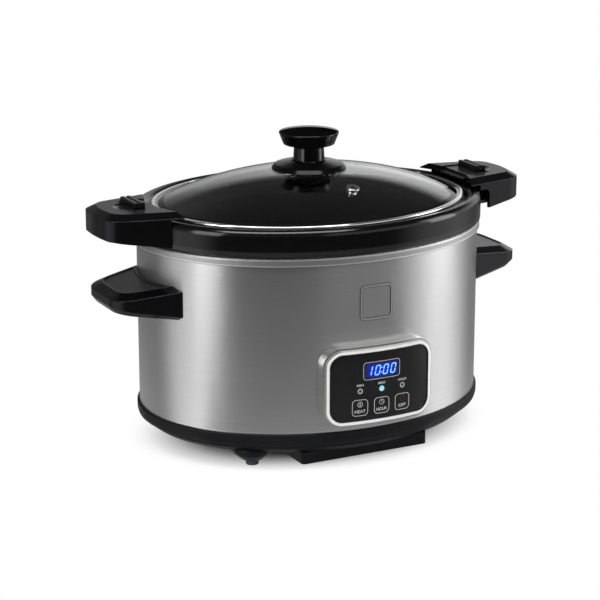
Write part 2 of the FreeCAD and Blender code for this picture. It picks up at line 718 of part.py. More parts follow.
def band_springs():
    out = []
    outer = RATIO * (well_radius(BAND_Z + 0.75 * BAND_HEIGHT) + WELL_SHEET + FIT_GAP + BAND_THICK)
    for share in (0.25, 0.75):
        z = BAND_Z + share * BAND_HEIGHT
        y = outer + 1.9
        coil = rod(1.6, V(-11, y, z), V(11, y, z))
        for i in range(9):
            x = -8.8 + 2.2 * i
            coil = coil.cut(Part.makeTorus(1.75, 0.35, V(x, y, z), V(1, 0, 0)))
        hook = slab(10.5, 13, outer - 1.4, y + 1.2, z - 1, z + 1)
        coil = coil.fuse(hook).fuse(slab(-13, -10.5, outer - 1.4, y + 1.2, z - 1, z + 1))
        out.append(coil.cut(heater_band()).removeSplitter())
    return out


def thermal_fuse():
    z = BAND_Z - 34.0
    y = RATIO * (well_radius(z + 4.0) + WELL_SHEET) + 3.0
    body = rod(2.2, V(-9, y, z), V(9, y, z))
    return body.fuse(rod(0.6, V(-18, y, z), V(18, y, z)))


def temperature_sensor():
    profile = [(0, SHIELD_Z + SHEET), (7, SHIELD_Z + SHEET), (7, SHIELD_Z + 2.4), (4.5, SHIELD_Z + 2.4)]
    profile += [(4.5, WELL_Z - WELL_SHEET), (0, WELL_Z - WELL_SHEET)]
    return turned(profile, 34, 22)


def heat_shield():
    radius = BODY_HALF_LENGTH - SHIELD_INSET
    profile = [(0, SHIELD_Z), (radius, SHIELD_Z, 1.0)]
    profile += [(radius + 2, SHIELD_Z + 3), (radius + 1.2, SHIELD_Z + 3)]
    profile += [(radius - 0.6, SHIELD_Z + SHEET, 0.5), (0, SHIELD_Z + SHEET)]
    body = oval(profile)
    body = body.cut(rod(STUD_RADIUS + FIT_GAP, V(0, 0, 0), V(0, 0, WELL_Z)))
    for x, y in ((-60, 0), (60, 0), (0, 45), (-40, 40), (50, -30)):
        body = body.cut(rod(4, V(x, y, 0), V(x, y, WELL_Z)))
    return body


def centre_stud():
    return rod(STUD_RADIUS, V(0, 0, FLOOR_GAP - 6), V(0, 0, WELL_Z - WELL_SHEET))


def tube(z0, z1):
    body = rod(SPACER_RADIUS, V(0, 0, z0), V(0, 0, z1))
    return body.cut(rod(STUD_RADIUS + FIT_GAP, V(0, 0, z0 - 1), V(0, 0, z1 + 1)))


def centre_nut():
    angles = [math.radians(60 * i) for i in range(6)]
    corners = [V(4.6 * math.cos(a), 4.6 * math.sin(a), FLOOR_GAP - 5) for a in angles]
    body = Part.Face(Part.makePolygon(corners + corners[:1])).extrude(V(0, 0, 4))
    body = body.fuse(rod(7.0, V(0, 0, FLOOR_GAP - 1.2), V(0, 0, FLOOR_GAP)))
    return body.cut(rod(STUD_RADIUS + 0.05, V(0, 0, 0), V(0, 0, SEAM_Z)))


def heater_leads():
    out = []
    for x, top_x in ((-29, -50), (-19, -44)):
        y = -RATIO * math.sqrt((well_radius(BAND_Z) + WELL_SHEET + 4.0) ** 2 - top_x ** 2)
        points = [
            V(x, BOX_FRONT + 20, BOARD_TOP + 4),
            V(x, BOX_FRONT + 12.5, BOARD_TOP + 4),
            V(x, BOX_FRONT + 12.5, SEAM_Z - 5.6),
            V(top_x, y, WELL_Z - 2.0),
            V(top_x, y, BAND_Z - 0.4),
        ]
        out.append(lead(points, 1.5))
    return out


def handle_plan(inset, z_at):
    root = BODY_HALF_LENGTH - HANDLE_ROOT
    corner = HANDLE_CORNER - 0.6 * inset
    side = [(root, inset - HANDLE_ROOT_HALF), (HANDLE_X - inset, inset - HANDLE_HALF, corner)]
    plan = side + [(x, -y, *r) for x, y, *r in reversed(side)]
    return outline(plan, lambda u, v: V(u, v, z_at(u)))


def handle_level(z_root, z_tip):
    """Height along a face that runs straight from the shell to the handle tip."""
    return lambda x: z_root + (z_tip - z_root) * (x - BODY_HALF_LENGTH) / HANDLE_REACH


def side_handle():
    top = handle_level(HANDLE_TOP_Z, HANDLE_TOP_TIP)
    edge = handle_level(HANDLE_TOP_Z - HANDLE_EDGE_DROP, HANDLE_TOP_TIP - HANDLE_EDGE_DROP)
    low = handle_level(HANDLE_LOW_Z + 3, HANDLE_LOW_TIP + 4)
    foot = handle_level(HANDLE_LOW_Z, HANDLE_LOW_TIP)
    wires = [handle_plan(3.0, foot), handle_plan(0, low)]
    wires += [handle_plan(0, edge), handle_plan(HANDLE_BEVEL, top)]
    body = Part.makeLoft(wires, True, True)
    inset = HANDLE_BEVEL + HANDLE_PANEL_RIM
    sunk = handle_level(HANDLE_TOP_Z - HANDLE_PANEL_SINK, HANDLE_TOP_TIP - HANDLE_PANEL_SINK)
    above = handle_level(HANDLE_TOP_Z + 3, HANDLE_TOP_TIP + 3)
    panel = Part.makeLoft([handle_plan(inset, sunk), handle_plan(inset, above)], True, True)
    body = body.cut(panel.cut(handle_bore(2 * HANDLE_PANEL_RIM)))
    inset = 3.0 + HANDLE_WALL
    roof = handle_level(HANDLE_TOP_Z - HANDLE_WALL - 3, HANDLE_TOP_TIP - HANDLE_WALL - 3)
    deep = handle_level(HANDLE_LOW_Z - 6, HANDLE_LOW_TIP - 6)
    hollow = Part.makeLoft([handle_plan(inset, deep), handle_plan(inset, roof)], True, True)
    body = body.cut(hollow.cut(handle_bore(HANDLE_WALL)))
    inner = BODY_HALF_LENGTH - 10
    outer = BODY_HALF_LENGTH + HANDLE_SCREW_REACH
    for place in handle_screw_places():
        body = body.fuse(rod(5.0, V(inner, place.y, place.z), V(outer + 6, place.y, place.z)))
    body = body.cut(handle_bore(FIT_GAP))
    for place in handle_screw_places():
        body = body.cut(rod(2.0 + SCREW_GAP, V(inner, place.y, place.z), V(outer + 3, place.y, place.z)))
    return body.removeSplitter()


def handle_bore(clear):
    """Body oval grown by a clearance, tall enough to pass through a side handle."""
    return oval_prism(BODY_HALF_LENGTH + clear, HANDLE_LOW_Z - 30, HANDLE_TOP_Z + 30)


def handle_underside():
    inset = 3.0 + HANDLE_WALL + SLIDE_GAP
    low = handle_level(HANDLE_LOW_Z, HANDLE_LOW_TIP)
    high = handle_level(HANDLE_LOW_Z + 2.2, HANDLE_LOW_TIP + 2.2)
    body = Part.makeLoft([handle_plan(inset, low), handle_plan(inset, high)], True, True)
    return body.cut(handle_bore(HANDLE_WALL + FIT_GAP))


def handle_screws():
    out = []
    for place in handle_screw_places():
        x = shell_x(place.y) - 1.6
        end = BODY_HALF_LENGTH + HANDLE_SCREW_REACH
        out.append(screw(2.0, 3.6, 1.8, V(x, place.y, place.z), V(end, place.y, place.z)))
    return out


def crock():
    side = CROCK_TOP
    foot_z = WELL_Z + CROCK_LIFT_GAP
    foot = side - CROCK_TAPER
    bore = side - CROCK_WALL
    profile = [
        (0, foot_z),
        (foot, foot_z, 14.0),
        (side, SEAT_Z, 2.0),
        (RIM_OUTER, SEAT_Z, 1.6),
        (RIM_OUTER, CREST_Z - 1.0, 4.5),
        (CREST_RADIUS + 1.0, CREST_Z, 2.0),
        (CREST_RADIUS - 2.6, CREST_Z - 0.6, 1.5),
        (LEDGE_OUTER + 1.0, LEDGE_Z + 2.0, 2.0),
        (LEDGE_OUTER, LEDGE_Z),
        (bore, LEDGE_Z, 2.5),
        (foot - CROCK_WALL, foot_z + CROCK_FLOOR, 22.0),
        (0, foot_z + CROCK_FLOOR),
    ]
    body = oval(profile)
    reach = BODY_HALF_LENGTH + LUG_LENGTH
    lug = slab(LEDGE_OUTER + 4, reach, -LUG_HALF, LUG_HALF, LUG_Z, LUG_Z + LUG_HEIGHT, 3.5)
    return body.fuse(lug).fuse(opposite(lug)).removeSplitter()


def lock_plan(inset):
    tip = LOCK_X - inset
    corner = LOCK_CORNER - 0.6 * inset
    side = [(BODY_HALF_LENGTH - LOCK_ROOT, inset - LOCK_ROOT_HALF), (tip, inset - LOCK_HALF, corner)]
    return side + [(tip + LOCK_BOW, 0.0, 60.0)] + [(x, -y, *r) for x, y, *r in reversed(side)]


def lock_level(z_root, z_tip):
    return lambda x: z_root + (z_tip - z_root) * (x - BODY_HALF_LENGTH) / LOCK_REACH


def lock_wire(inset, z_at):
    return outline(lock_plan(inset), lambda u, v: V(u, v, z_at(u)))


def lock_handle():
    low = lock_level(LOCK_LOW_Z, LOCK_LOW_TIP)
    ceiling = lock_level(LOCK_CEILING, LOCK_CEILING)
    edge = lock_level(LOCK_EDGE_Z, LOCK_EDGE_Z)
    top = lock_level(LOCK_TOP_Z, LOCK_TOP_Z)
    rings = [lock_wire(0, ceiling), lock_wire(0, edge), lock_wire(LOCK_BEVEL, top)]
    cover = Part.makeLoft(rings, True, True)
    cover = cover.cut(oval_prism(RIM_OUTER - LOCK_NECK, CREST_Z - 10, LOCK_TOP_Z + 10))
    skirt = Part.makeLoft([lock_wire(0, low), lock_wire(0, ceiling)], True, True)
    skirt = skirt.cut(oval_prism(RIM_OUTER + FIT_GAP, LOCK_LOW_Z - 10, LOCK_CEILING + 1))
    roof = LUG_Z + LUG_HEIGHT
    deep = LOCK_LOW_Z - 20
    pocket = lock_wire(LOCK_WALL, lock_level(deep, deep))
    skirt = skirt.cut(Part.Face(pocket).extrude(V(0, 0, roof - deep)))
    notch = [(0, deep), (BODY_HALF_LENGTH + NOTCH_REACH, deep)]
    notch += [(BODY_HALF_LENGTH + NOTCH_REACH, roof, 4.0), (0, roof)]
    gate = outline(notch, lambda u, v: V(u, -2 * LOCK_HALF, v))
    skirt = skirt.cut(Part.Face(gate).extrude(V(0, LOCK_HALF, 0)))
    for side in (-1, 1):
        y = side * LOCK_SCREW_Y
        skirt = skirt.fuse(rod(4.2, V(LOCK_SCREW_X, y, LUG_Z), V(LOCK_SCREW_X, y, roof + 1)))
    body = cover.fuse(skirt)
    for side in (-1, 1):
        y = side * LOCK_SCREW_Y
        body = body.cut(rod(1.5 + SCREW_GAP, V(LOCK_SCREW_X, y, LUG_Z - 1), V(LOCK_SCREW_X, y, roof)))
    rail = LATCH_HALF + LATCH_RAIL + FIT_GAP
    rail_top = LATCH_Z + LATCH_RAIL_THICK + FIT_GAP
    back = LATCH_OUTER + FIT_GAP
    slot = LATCH_HALF + FIT_GAP
    body = body.cut(slab(0, back, -rail, rail, LOCK_CEILING, rail_top))
    body = body.cut(slab(0, back, -slot, slot, LOCK_CEILING, LOCK_TOP_Z + 5))
    scoop = Part.makeSphere(40, V(LATCH_OUTER - 2, 0, LOCK_TOP_Z + 38.0))
    return body.cut(scoop).removeSplitter()


def lock_plate():
    z0 = LUG_Z - LOCK_PLATE
    wire = lock_wire(LOCK_WALL + SLIDE_GAP, lock_level(z0, z0))
    body = Part.Face(wire).extrude(V(0, 0, LOCK_PLATE))
    body = body.cut(oval_prism(RIM_OUTER + 1.0, z0 - 5, z0 + 10))
    for side in (-1, 1):
        y = side * LOCK_SCREW_Y
        body = body.cut(rod(1.5 + SCREW_GAP, V(LOCK_SCREW_X, y, z0 - 1), V(LOCK_SCREW_X, y, LUG_Z + 1)))
    return body


def lock_screws():
    out = []
    z0 = LUG_Z - LOCK_PLATE
    for side in (-1, 1):
        y = side * LOCK_SCREW_Y
        out.append(screw(1.5, 2.8, 1.8, V(LOCK_SCREW_X, y, z0), V(LOCK_SCREW_X, y, LUG_Z + LUG_HEIGHT - 1)))
    return out


def latch():
    rail = LATCH_HALF + LATCH_RAIL
    rail_top = LATCH_Z + LATCH_RAIL_THICK
    body = slab(LATCH_INNER, LATCH_OUTER, -rail, rail, LATCH_Z, rail_top, 1.0)
    body = body.fuse(slab(LATCH_INNER, LATCH_OUTER, -LATCH_HALF, LATCH_HALF, LATCH_Z, LATCH_TOP, 1.0))
    tip = LATCH_INNER - TONGUE_REACH
    body = body.fuse(slab(tip, LATCH_INNER + 4, -TONGUE_HALF, TONGUE_HALF, LATCH_Z, rail_top, 1.2))
    end = LATCH_OUTER - 0.6
    first = end - 2 * RIDGE_LENGTH - RIDGE_VALLEY
    crown = LATCH_TOP + RIDGE_HEIGHT
    shape = [(first - 0.5, LATCH_TOP - 0.5), (first, crown, 1.0), (first + RIDGE_LENGTH, crown, 1.0)]
    shape += [(first + RIDGE_LENGTH + 0.5 * RIDGE_VALLEY, crown - 2.6)]
    shape += [(end - RIDGE_LENGTH, crown, 1.0), (end, crown, 1.0), (end + 0.4, LATCH_TOP - 0.5)]
    wire = outline(shape, lambda u, v: V(u, -RIDGE_HALF, v))
    grip = Part.Face(wire).extrude(V(0, 2 * RIDGE_HALF, 0))
    return body.fuse(grip).removeSplitter()


def dome(lift, thick_in):
    """Upper surface of the glass as a solid down to a flat floor."""
    edge = DOME_EDGE - thick_in
    apex = APEX_Z + lift
    shares = [i / 12 for i in range(13)]
    points = [V(edge * k, 0, apex - DOME_RISE * k ** DOME_POWER) for k in shares]
    bow = Part.BSplineCurve()
    bow.interpolate(points)
    low = apex - DOME_RISE
    floor = low - 4
    lines = [V(0, 0, apex), V(0, 0, floor), V(edge, 0, floor), V(edge, 0, low)]
    edges = [bow.toShape()] + [Part.makeLine(a, b) for a, b in zip(lines, lines[1:])]
    profile = Part.Wire(Part.sortEdges(edges)[0])
    return squeeze(Part.Face(profile).revolve(V(0, 0, 0), V(0, 0, 1), 360))


def vent_place():
    """Point on the glass over the vent and the way the glass faces there."""
    reach = math.hypot(VENT_X, VENT_Y / RATIO)
    share = reach / DOME_EDGE
    z = APEX_Z - DOME_RISE * share ** DOME_POWER
    fall = DOME_RISE * DOME_POWER * share ** (DOME_POWER - 1) / DOME_EDGE
    facing = V(fall * VENT_X / reach, fall * VENT_Y / RATIO ** 2 / reach, 1.0)
    return V(VENT_X, VENT_Y, z), facing.normalize()


def lid_glass():
    top = GLASS_LOW + GLASS_EDGE
    rim = oval_prism(GLASS_OUTER - 0.2, GLASS_LOW + 0.1, top)
    body = rim.fuse(dome(0, 0).common(oval_prism(DOME_EDGE + 1, top - 1, APEX_Z + 5)))
    under = dome(-GLASS_THICK, 2.5).cut(oval_prism(DOME_EDGE + 5, GLASS_LOW - 20, GLASS_LOW - 12))
    body = body.cut(under.fuse(oval_prism(DOME_EDGE - 2.5, GLASS_LOW - 3, top - GLASS_THICK + 0.1)))
    body = body.cut(rod(KNOB_SCREW + 1.0, V(0, 0, SEAT_Z), V(0, 0, HEAD_Z)))
    place, facing = vent_place()
    body = body.cut(rod(VENT_BODY + SCREW_GAP, place - facing * 12, place + facing * 12))
    return body.removeSplitter()


def lid_ring():
    high = LEDGE_Z + RING_HEIGHT
    inner = RING_OUTER - RING_WIDTH
    profile = [
        (inner + 0.8, LEDGE_Z),
        (RING_OUTER, LEDGE_Z, 1.0),
        (RING_OUTER, high, 1.2),
        (inner, high, 0.25),
        (inner, GLASS_LOW + GLASS_EDGE + 0.1),
        (GLASS_OUTER, GLASS_LOW + GLASS_EDGE + 0.1),
        (GLASS_OUTER, GLASS_LOW),
        (inner + 0.8, GLASS_LOW),
    ]
    return oval(profile)


def vent_grommet():
    profile = [
        (VENT_HOLE, -VENT_GRIP - 1.0),
        (VENT_COLLAR - 0.6, -VENT_GRIP - 1.0),
        (VENT_COLLAR - 0.6, -VENT_GRIP),
        (VENT_BODY, -VENT_GRIP),
        (VENT_BODY, FIT_GAP),
        (VENT_COLLAR, FIT_GAP, 0.3),
        (VENT_COLLAR - 0.4, FIT_GAP + 1.2, 0.5),
        (VENT_HOLE, FIT_GAP + 1.2),
    ]
    body = turned(profile)
    place, facing = vent_place()
    body.Placement = FreeCAD.Placement(place, FreeCAD.Rotation(V(0, 0, 1), facing))
    return body


def knob_base():
    profile = [
        (0, FLANGE_Z - 4),
        (FLANGE_RADIUS, FLANGE_Z - 4),
        (FLANGE_RADIUS, FLANGE_Z + 0.3, 0.4),
        (FLANGE_RADIUS - FLANGE_LIP, FLANGE_Z + FLANGE_SHOULDER, 2.0),
        (STEM_RADIUS + 1.6, CONE_Z, 1.0),
        (STEM_RADIUS + 0.8, CONE_Z + 1.0),
        (0, CONE_Z + 1.0),
    ]
    body = turned(profile).cut(dome(0.1, 0))
    body = body.cut(rod(KNOB_SCREW + FIT_GAP, V(0, 0, SEAT_Z), V(0, 0, HEAD_Z)))
    return max(body.Solids, key=lambda s: s.Volume)


def knob():
    top = HEAD_Z + HEAD_SIDE + HEAD_DOME
    profile = [
        (0, CONE_Z + 1.0),
        (STEM_RADIUS, CONE_Z + 1.0),
        (STEM_RADIUS - 0.6, HEAD_Z, 2.5),
        (HEAD_UNDER_RADIUS, HEAD_Z, 1.2),
        (HEAD_RADIUS, HEAD_Z + HEAD_SIDE, 1.0),
        (HEAD_RADIUS - 7.0, top - 0.9, 12.0),
        (0, top),
    ]
    body = turned(profile)
    return body.cut(rod(KNOB_SCREW + 0.05, V(0, 0, CONE_Z), V(0, 0, CONE_Z + 14)))


def knob_washer():
    z = APEX_Z - GLASS_THICK - FIT_GAP
    body = rod(8.0, V(0, 0, z - 1.2), V(0, 0, z))
    return body.cut(rod(KNOB_SCREW + FIT_GAP, V(0, 0, SEAT_Z), V(0, 0, HEAD_Z)))


def knob_screw():
    z = APEX_Z - GLASS_THICK - FIT_GAP - 1.2
    return screw(KNOB_SCREW, 5.0, 3.0, V(0, 0, z), V(0, 0, z + KNOB_SCREW_LENGTH - 5))


def cord_gland():
    reach = BODY_HALF_DEPTH + BEZEL_DEPTH
    wall = RATIO * (BODY_HALF_LENGTH + BASE_PROUD)
    profile = [
        (GLAND_BORE, wall - GLAND_SEAT - 2.0),
        (GLAND_RADIUS + GLAND_FLANGE, wall - GLAND_SEAT - 2.0, 0.8),
        (GLAND_RADIUS + GLAND_FLANGE, wall - GLAND_SEAT),
        (GLAND_RADIUS, wall - GLAND_SEAT),
        (GLAND_RADIUS, wall + 0.6),
        (GLAND_COLLAR, wall + 0.6, 0.8),
        (GLAND_COLLAR, wall + 3.4, 1.0),
        (GLAND_RADIUS, wall + 3.4),
        (GLAND_RADIUS - 1.0, reach, 1.0),
        (GLAND_BORE, reach),
    ]
    body = turned(profile)
    body.rotate(V(0, 0, 0), V(1, 0, 0), -90)
    return body.translated(V(0, 0, GLAND_Z))


def save(name, shapes):
    solids = shapes if isinstance(shapes, list) else [shapes]
    whole = Part.makeCompound(solids) if len(solids) > 1 else solids[0]
    whole.exportStep(os.path.join("parts", name + ".step"))


os.makedirs("parts", exist_ok=True)

save("outer_shell", outer_shell())
save("heating_well", heating_well())
save("base_pan", base_pan())
for name, (x, y) in FOOT_PLACES.items():
    save("rubber_foot_" + name, rubber_foot(x, y))
save("control_box", control_box())
save("control_box_screws", box_screws())
save("power_board", power_board())
save("relay", relay())
save("transformer", transformer())
save("capacitor", capacitor())
save("terminal_block", terminal_block())
save("control_bezel", control_bezel())
save("control_panel", control_panel())
save("display_window", display_window())
save("display_module", display_module())
for name, column in (("temp", -1), ("time", 0), ("stop", 1)):
    save("key_" + name, panel_key(column))
for name, column in (("low", -1), ("high", 0), ("warm", 1)):
    save("indicator_" + name, indicator_light(column))
save("control_board", control_board())
save("control_board_screws", board_fixings())
save("tact_switches", tact_switches())
save("ribbon_cable", ribbon_cable())
save("heater_band", heater_band())
save("heater_band_springs", band_springs())
save("heater_leads", heater_leads())
save("thermal_fuse", thermal_fuse())
save("temperature_sensor", temperature_sensor())
save("heat_shield", heat_shield())
save("centre_stud", centre_stud())
save("spacer_lower", tube(FLOOR_GAP + BASE_WALL, SHIELD_Z))
save("spacer_upper", tube(SHIELD_Z + SHEET, WELL_Z - WELL_SHEET))
save("centre_nut", centre_nut())
save("cord_gland", cord_gland())
save("crock", crock())
save("lid_glass", lid_glass())
save("lid_ring", lid_ring())
save("vent_grommet", vent_grommet())
save("knob_base", knob_base())
save("knob", knob())
save("knob_washer", knob_washer())
save("knob_screw", knob_screw())
for name, build in (
    ("side_handle", side_handle),
    ("handle_underside", handle_underside),
    ("lock_handle", lock_handle),
    ("lock_plate", lock_plate),
    ("latch", latch),
):
    piece = build()
    save(name + "_right", piece)
    save(name + "_left", opposite(piece))
for name, build in (("handle_screws", handle_screws), ("lock_screws", lock_screws)):
    pieces = build()
    save(name, pieces + [opposite(piece) for piece in pieces])
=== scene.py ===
import math
import bpy
import bmesh
from mathutils import Matrix, Vector


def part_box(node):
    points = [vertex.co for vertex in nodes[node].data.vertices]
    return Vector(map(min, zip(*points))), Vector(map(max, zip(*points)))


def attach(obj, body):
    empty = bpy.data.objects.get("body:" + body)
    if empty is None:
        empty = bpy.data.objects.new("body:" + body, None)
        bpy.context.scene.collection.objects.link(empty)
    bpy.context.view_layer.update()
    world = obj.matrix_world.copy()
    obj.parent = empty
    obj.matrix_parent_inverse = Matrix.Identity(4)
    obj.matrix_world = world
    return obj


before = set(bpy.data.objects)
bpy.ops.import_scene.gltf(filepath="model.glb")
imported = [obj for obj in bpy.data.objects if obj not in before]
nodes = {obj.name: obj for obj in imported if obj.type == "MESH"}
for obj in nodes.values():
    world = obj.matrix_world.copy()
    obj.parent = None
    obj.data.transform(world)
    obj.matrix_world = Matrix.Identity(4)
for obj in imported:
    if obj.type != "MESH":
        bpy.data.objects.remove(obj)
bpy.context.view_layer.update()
scene = bpy.context.scene

# Places on the part that the finishes, the painted shade, the painted highlights and the painted
# reflection follow, in metres
SHELL_LOW, SHELL_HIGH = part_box("outer_shell")
SKIRT_DROP = 0.0046
SKIRT_Z = SHELL_HIGH.z - SKIRT_DROP
# Heights of the painted shade, a dark band just below the bead's flange
BEAD_SHADE_Z = (SKIRT_Z - 0.0010, SKIRT_Z - 0.0004)
# Heights of the painted highlight, a bright line along the shell's lower hem
HEM_HIGHLIGHT_Z = (SHELL_LOW.z + 0.0006, SHELL_LOW.z + 0.0014)
# Height and softness of the painted highlight along the lower edge of the bead's rolled flange
ROLL_HIGHLIGHT_HIGH = 0.0008
ROLL_HIGHLIGHT_SOFT = 0.0005
RIM_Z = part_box("heating_well")[1].z
# Heights and softness of the painted reflection on the crock's lower lip
LIP_REFLECTION_Z = (RIM_Z + 0.0024, RIM_Z + 0.0038)
LIP_REFLECTION_SOFT = 0.0018
BEZEL_CORNER = 0.0148
# Reach in from the bezel's outline of the painted highlight on its front lip
BEZEL_LIP_HIGHLIGHT = (0.0014, 0.0024)
# Reach in from the bezel's outline of the painted shade line near the lip's inner edge
BEZEL_GROOVE_SHADE = (0.0040, 0.0045)
BADGE_MIDDLE = (0.0, 0.1295)
BADGE_HALF = (0.0136, 0.0134)
BADGE_CORNER = 0.0040
BADGE_RIM = 0.0013
# Width of the painted shade round the stamped frame's crease
BADGE_CREASE_SHADE = 0.0005
BADGE_SOFT = 0.0002
FRONT_Y = (-0.02, 0.0)
KNOB_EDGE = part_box("knob")[1].x
# Shift and radii of the circle that bounds the knob's sheen, as shares of the knob's radius
SHEEN_SHIFT = (("X", 0.34), ("Y", 0.67))
SHEEN_REACH = (1.20, 1.28)
# Where the display's light starts to fade and ends, as shares of the window's size
GLOW_FADE = (0.24, 0.50)
EDGE_SAMPLES = 6


# Node helpers for procedural materials
def new_material(name):
    """Material with its node tree and its surface shader."""
    material = bpy.data.materials.new(name)
    material.use_nodes = True
    tree = material.node_tree
    return material, tree, tree.nodes["Principled BSDF"]


def surface(tree, shader, colour, rough, normal=None):
    """Link the colour, the roughness and, where given, the normal of a surface."""
    for socket, source in (("Base Color", colour), ("Roughness", rough), ("Normal", normal)):
        if source is not None:
            tree.links.new(source, shader.inputs[socket])


def lit_surface(tree, shader, base, colour, power, rough):
    """Set an even base colour and link the light and the roughness of a lit surface."""
    shader.inputs["Base Color"].default_value = (*base, 1.0)
    shader.inputs["Emission Strength"].default_value = power
    tree.links.new(colour, shader.inputs["Emission Color"])
    tree.links.new(rough, shader.inputs["Roughness"])


def noise(tree, scale, detail=4.0, rough=0.55):
    """Noise in the piece's own frame; a plain number scales it alike in all directions."""
    source = tree.nodes.new("ShaderNodeTexCoord")
    mapping = tree.nodes.new("ShaderNodeMapping")
    mapping.inputs["Scale"].default_value = scale if isinstance(scale, tuple) else (scale,) * 3
    tree.links.new(source.outputs["Object"], mapping.inputs["Vector"])
    texture = tree.nodes.new("ShaderNodeTexNoise")
    texture.inputs["Scale"].default_value = 1.0
    texture.inputs["Detail"].default_value = detail
    texture.inputs["Roughness"].default_value = rough
    tree.links.new(mapping.outputs["Vector"], texture.inputs["Vector"])
    return texture.outputs["Fac"]


def ranged(tree, source, start, end, low, high, kind):
    """Change from a low to a high level while the source value runs from start to end."""
    node = tree.nodes.new("ShaderNodeMapRange")
    node.interpolation_type = kind
    node.inputs["From Min"].default_value = start
    node.inputs["From Max"].default_value = end
    node.inputs["To Min"].default_value = low
    node.inputs["To Max"].default_value = high
    tree.links.new(source, node.inputs["Value"])
    return node.outputs["Result"]


def spread(tree, source, low, high, start=0.3, end=0.7):
    """Even change between two levels, by default over the usual reach of a noise."""
    return ranged(tree, source, start, end, low, high, "LINEAR")


def step(tree, source, start, end, low=0.0, high=1.0):
    """Smooth change between two levels over a stretch of the source value."""
    return ranged(tree, source, start, end, low, high, "SMOOTHSTEP")


def value(tree, operation, first, second=None):
    """Arithmetic node on sockets or plain numbers."""
    node = tree.nodes.new("ShaderNodeMath")
    node.operation = operation
    for socket, given in zip(node.inputs, (first, second)):
        if given is None:
            continue
        if isinstance(given, (int, float)):
            socket.default_value = given
        else:
            tree.links.new(given, socket)
    return node.outputs[0]


def length(tree, first, second):
    """Length of the slope over two sides at a right angle."""
    squares = [value(tree, "MULTIPLY", side, side) for side in (first, second)]
    return value(tree, "SQRT", value(tree, "ADD", *squares))


def band(tree, source, start, end, soft):
    """One between two levels of the source value, zero beyond a soft margin outside them."""
    rise = step(tree, source, start - soft, start)
    fall = step(tree, source, end, end + soft, 1.0, 0.0)
    return value(tree, "MULTIPLY", rise, fall)


def inside_outline(tree, place, middle, half, corner):
    """Distance in from a rounded upright outline, true up to its corner radius."""
    past = []
    for axis, mid, reach in zip("XZ", middle, half):
        away = value(tree, "ABSOLUTE", value(tree, "SUBTRACT", place[axis], mid))
        past.append(value(tree, "MAXIMUM", value(tree, "SUBTRACT", away, reach - corner), 0.0))
    return value(tree, "SUBTRACT", corner, length(tree, *past))


def split_vector(tree, kind, output):
    """X, Y and Z of a vector that a new node of the given kind puts out."""
    source = tree.nodes.new(kind)
    split = tree.nodes.new("ShaderNodeSeparateXYZ")
    tree.links.new(source.outputs[output], split.inputs[0])
    return split.outputs


def split_place(tree):
    """X, Y and Z of the surface point in the piece's own frame."""
    return split_vector(tree, "ShaderNodeTexCoord", "Object")


def split_normal(tree):
    """X, Y and Z of the direction that the surface faces."""
    return split_vector(tree, "ShaderNodeNewGeometry", "True Normal")


def blend_colour(tree, factor, first, second):
    """Mix of two colours, each a plain colour or a socket."""
    node = tree.nodes.new("ShaderNodeMix")
    node.data_type = "RGBA"
    tree.links.new(factor, node.inputs["Factor"])
    for socket, colour in (("A", first), ("B", second)):
        target = [s for s in node.inputs if s.name == socket and s.type == "RGBA"][0]
        if isinstance(colour, tuple):
            target.default_value = (*colour, 1.0)
        else:
            tree.links.new(colour, target)
    return [s for s in node.outputs if s.type == "RGBA"][0]


def two_tone(tree, pattern, first, second):
    """Drift between two tones that follows a noise."""
    return blend_colour(tree, spread(tree, pattern, 0.0, 1.0), first, second)


def grey(tree, level):
    """Grey of a given level."""
    node = tree.nodes.new("ShaderNodeCombineColor")
    for socket in node.inputs:
        tree.links.new(level, socket)
    return node.outputs[0]


def bump(tree, height, strength, distance, normal=None):
    """Normal that follows a height, on top of another normal where one is given."""
    node = tree.nodes.new("ShaderNodeBump")
    node.inputs["Strength"].default_value = strength
    node.inputs["Distance"].default_value = distance
    tree.links.new(height, node.inputs["Height"])
    if normal is not None:
        tree.links.new(normal, node.inputs["Normal"])
    return node.outputs["Normal"]


def soft_edge(tree, radius):
    """Normal that rounds sharp edges a little, so that they catch the light."""
    node = tree.nodes.new("ShaderNodeBevel")
    node.samples = EDGE_SAMPLES
    node.inputs["Radius"].default_value = radius
    return node.outputs["Normal"]


def shaded(colour, amount):
    """Lighter or darker tone of a plain colour."""
    return tuple(min(1.0, c * amount) for c in colour)


# Finishes
def moulded(name, colour, rough, grain=900.0, depth=0.00004, strength=0.25, vary=0.25, shine=0.5):
    """Moulded plastic or rubber: fine grain, uneven gloss and slight tone drift."""
    material, tree, shader = new_material(name)
    fine = noise(tree, grain, 3.0)
    broad = noise(tree, 22.0, 5.0)
    tone = two_tone(tree, broad, shaded(colour, 1.0 - vary), shaded(colour, 1.0 + vary))
    gloss = spread(tree, broad, max(0.02, rough - 0.05), rough + 0.06)
    surface(tree, shader, tone, gloss, bump(tree, fine, strength, depth))
    shader.inputs["Specular IOR Level"].default_value = shine
    return material


def metal(name, colour, rough, stretch=900.0, strength=0.1, vary=0.08):
    """Bare or plated metal with fine tool marks."""
    material, tree, shader = new_material(name)
    marks = noise(tree, stretch, 3.0)
    broad = noise(tree, 18.0, 4.0)
    tone = two_tone(tree, broad, shaded(colour, 1.0 - vary), shaded(colour, 1.0 + vary))
    gloss = spread(tree, marks, max(0.03, rough - 0.05), rough + 0.07)
    surface(tree, shader, tone, gloss, bump(tree, marks, strength, 0.00003))
    shader.inputs["Metallic"].default_value = 1.0
    return material


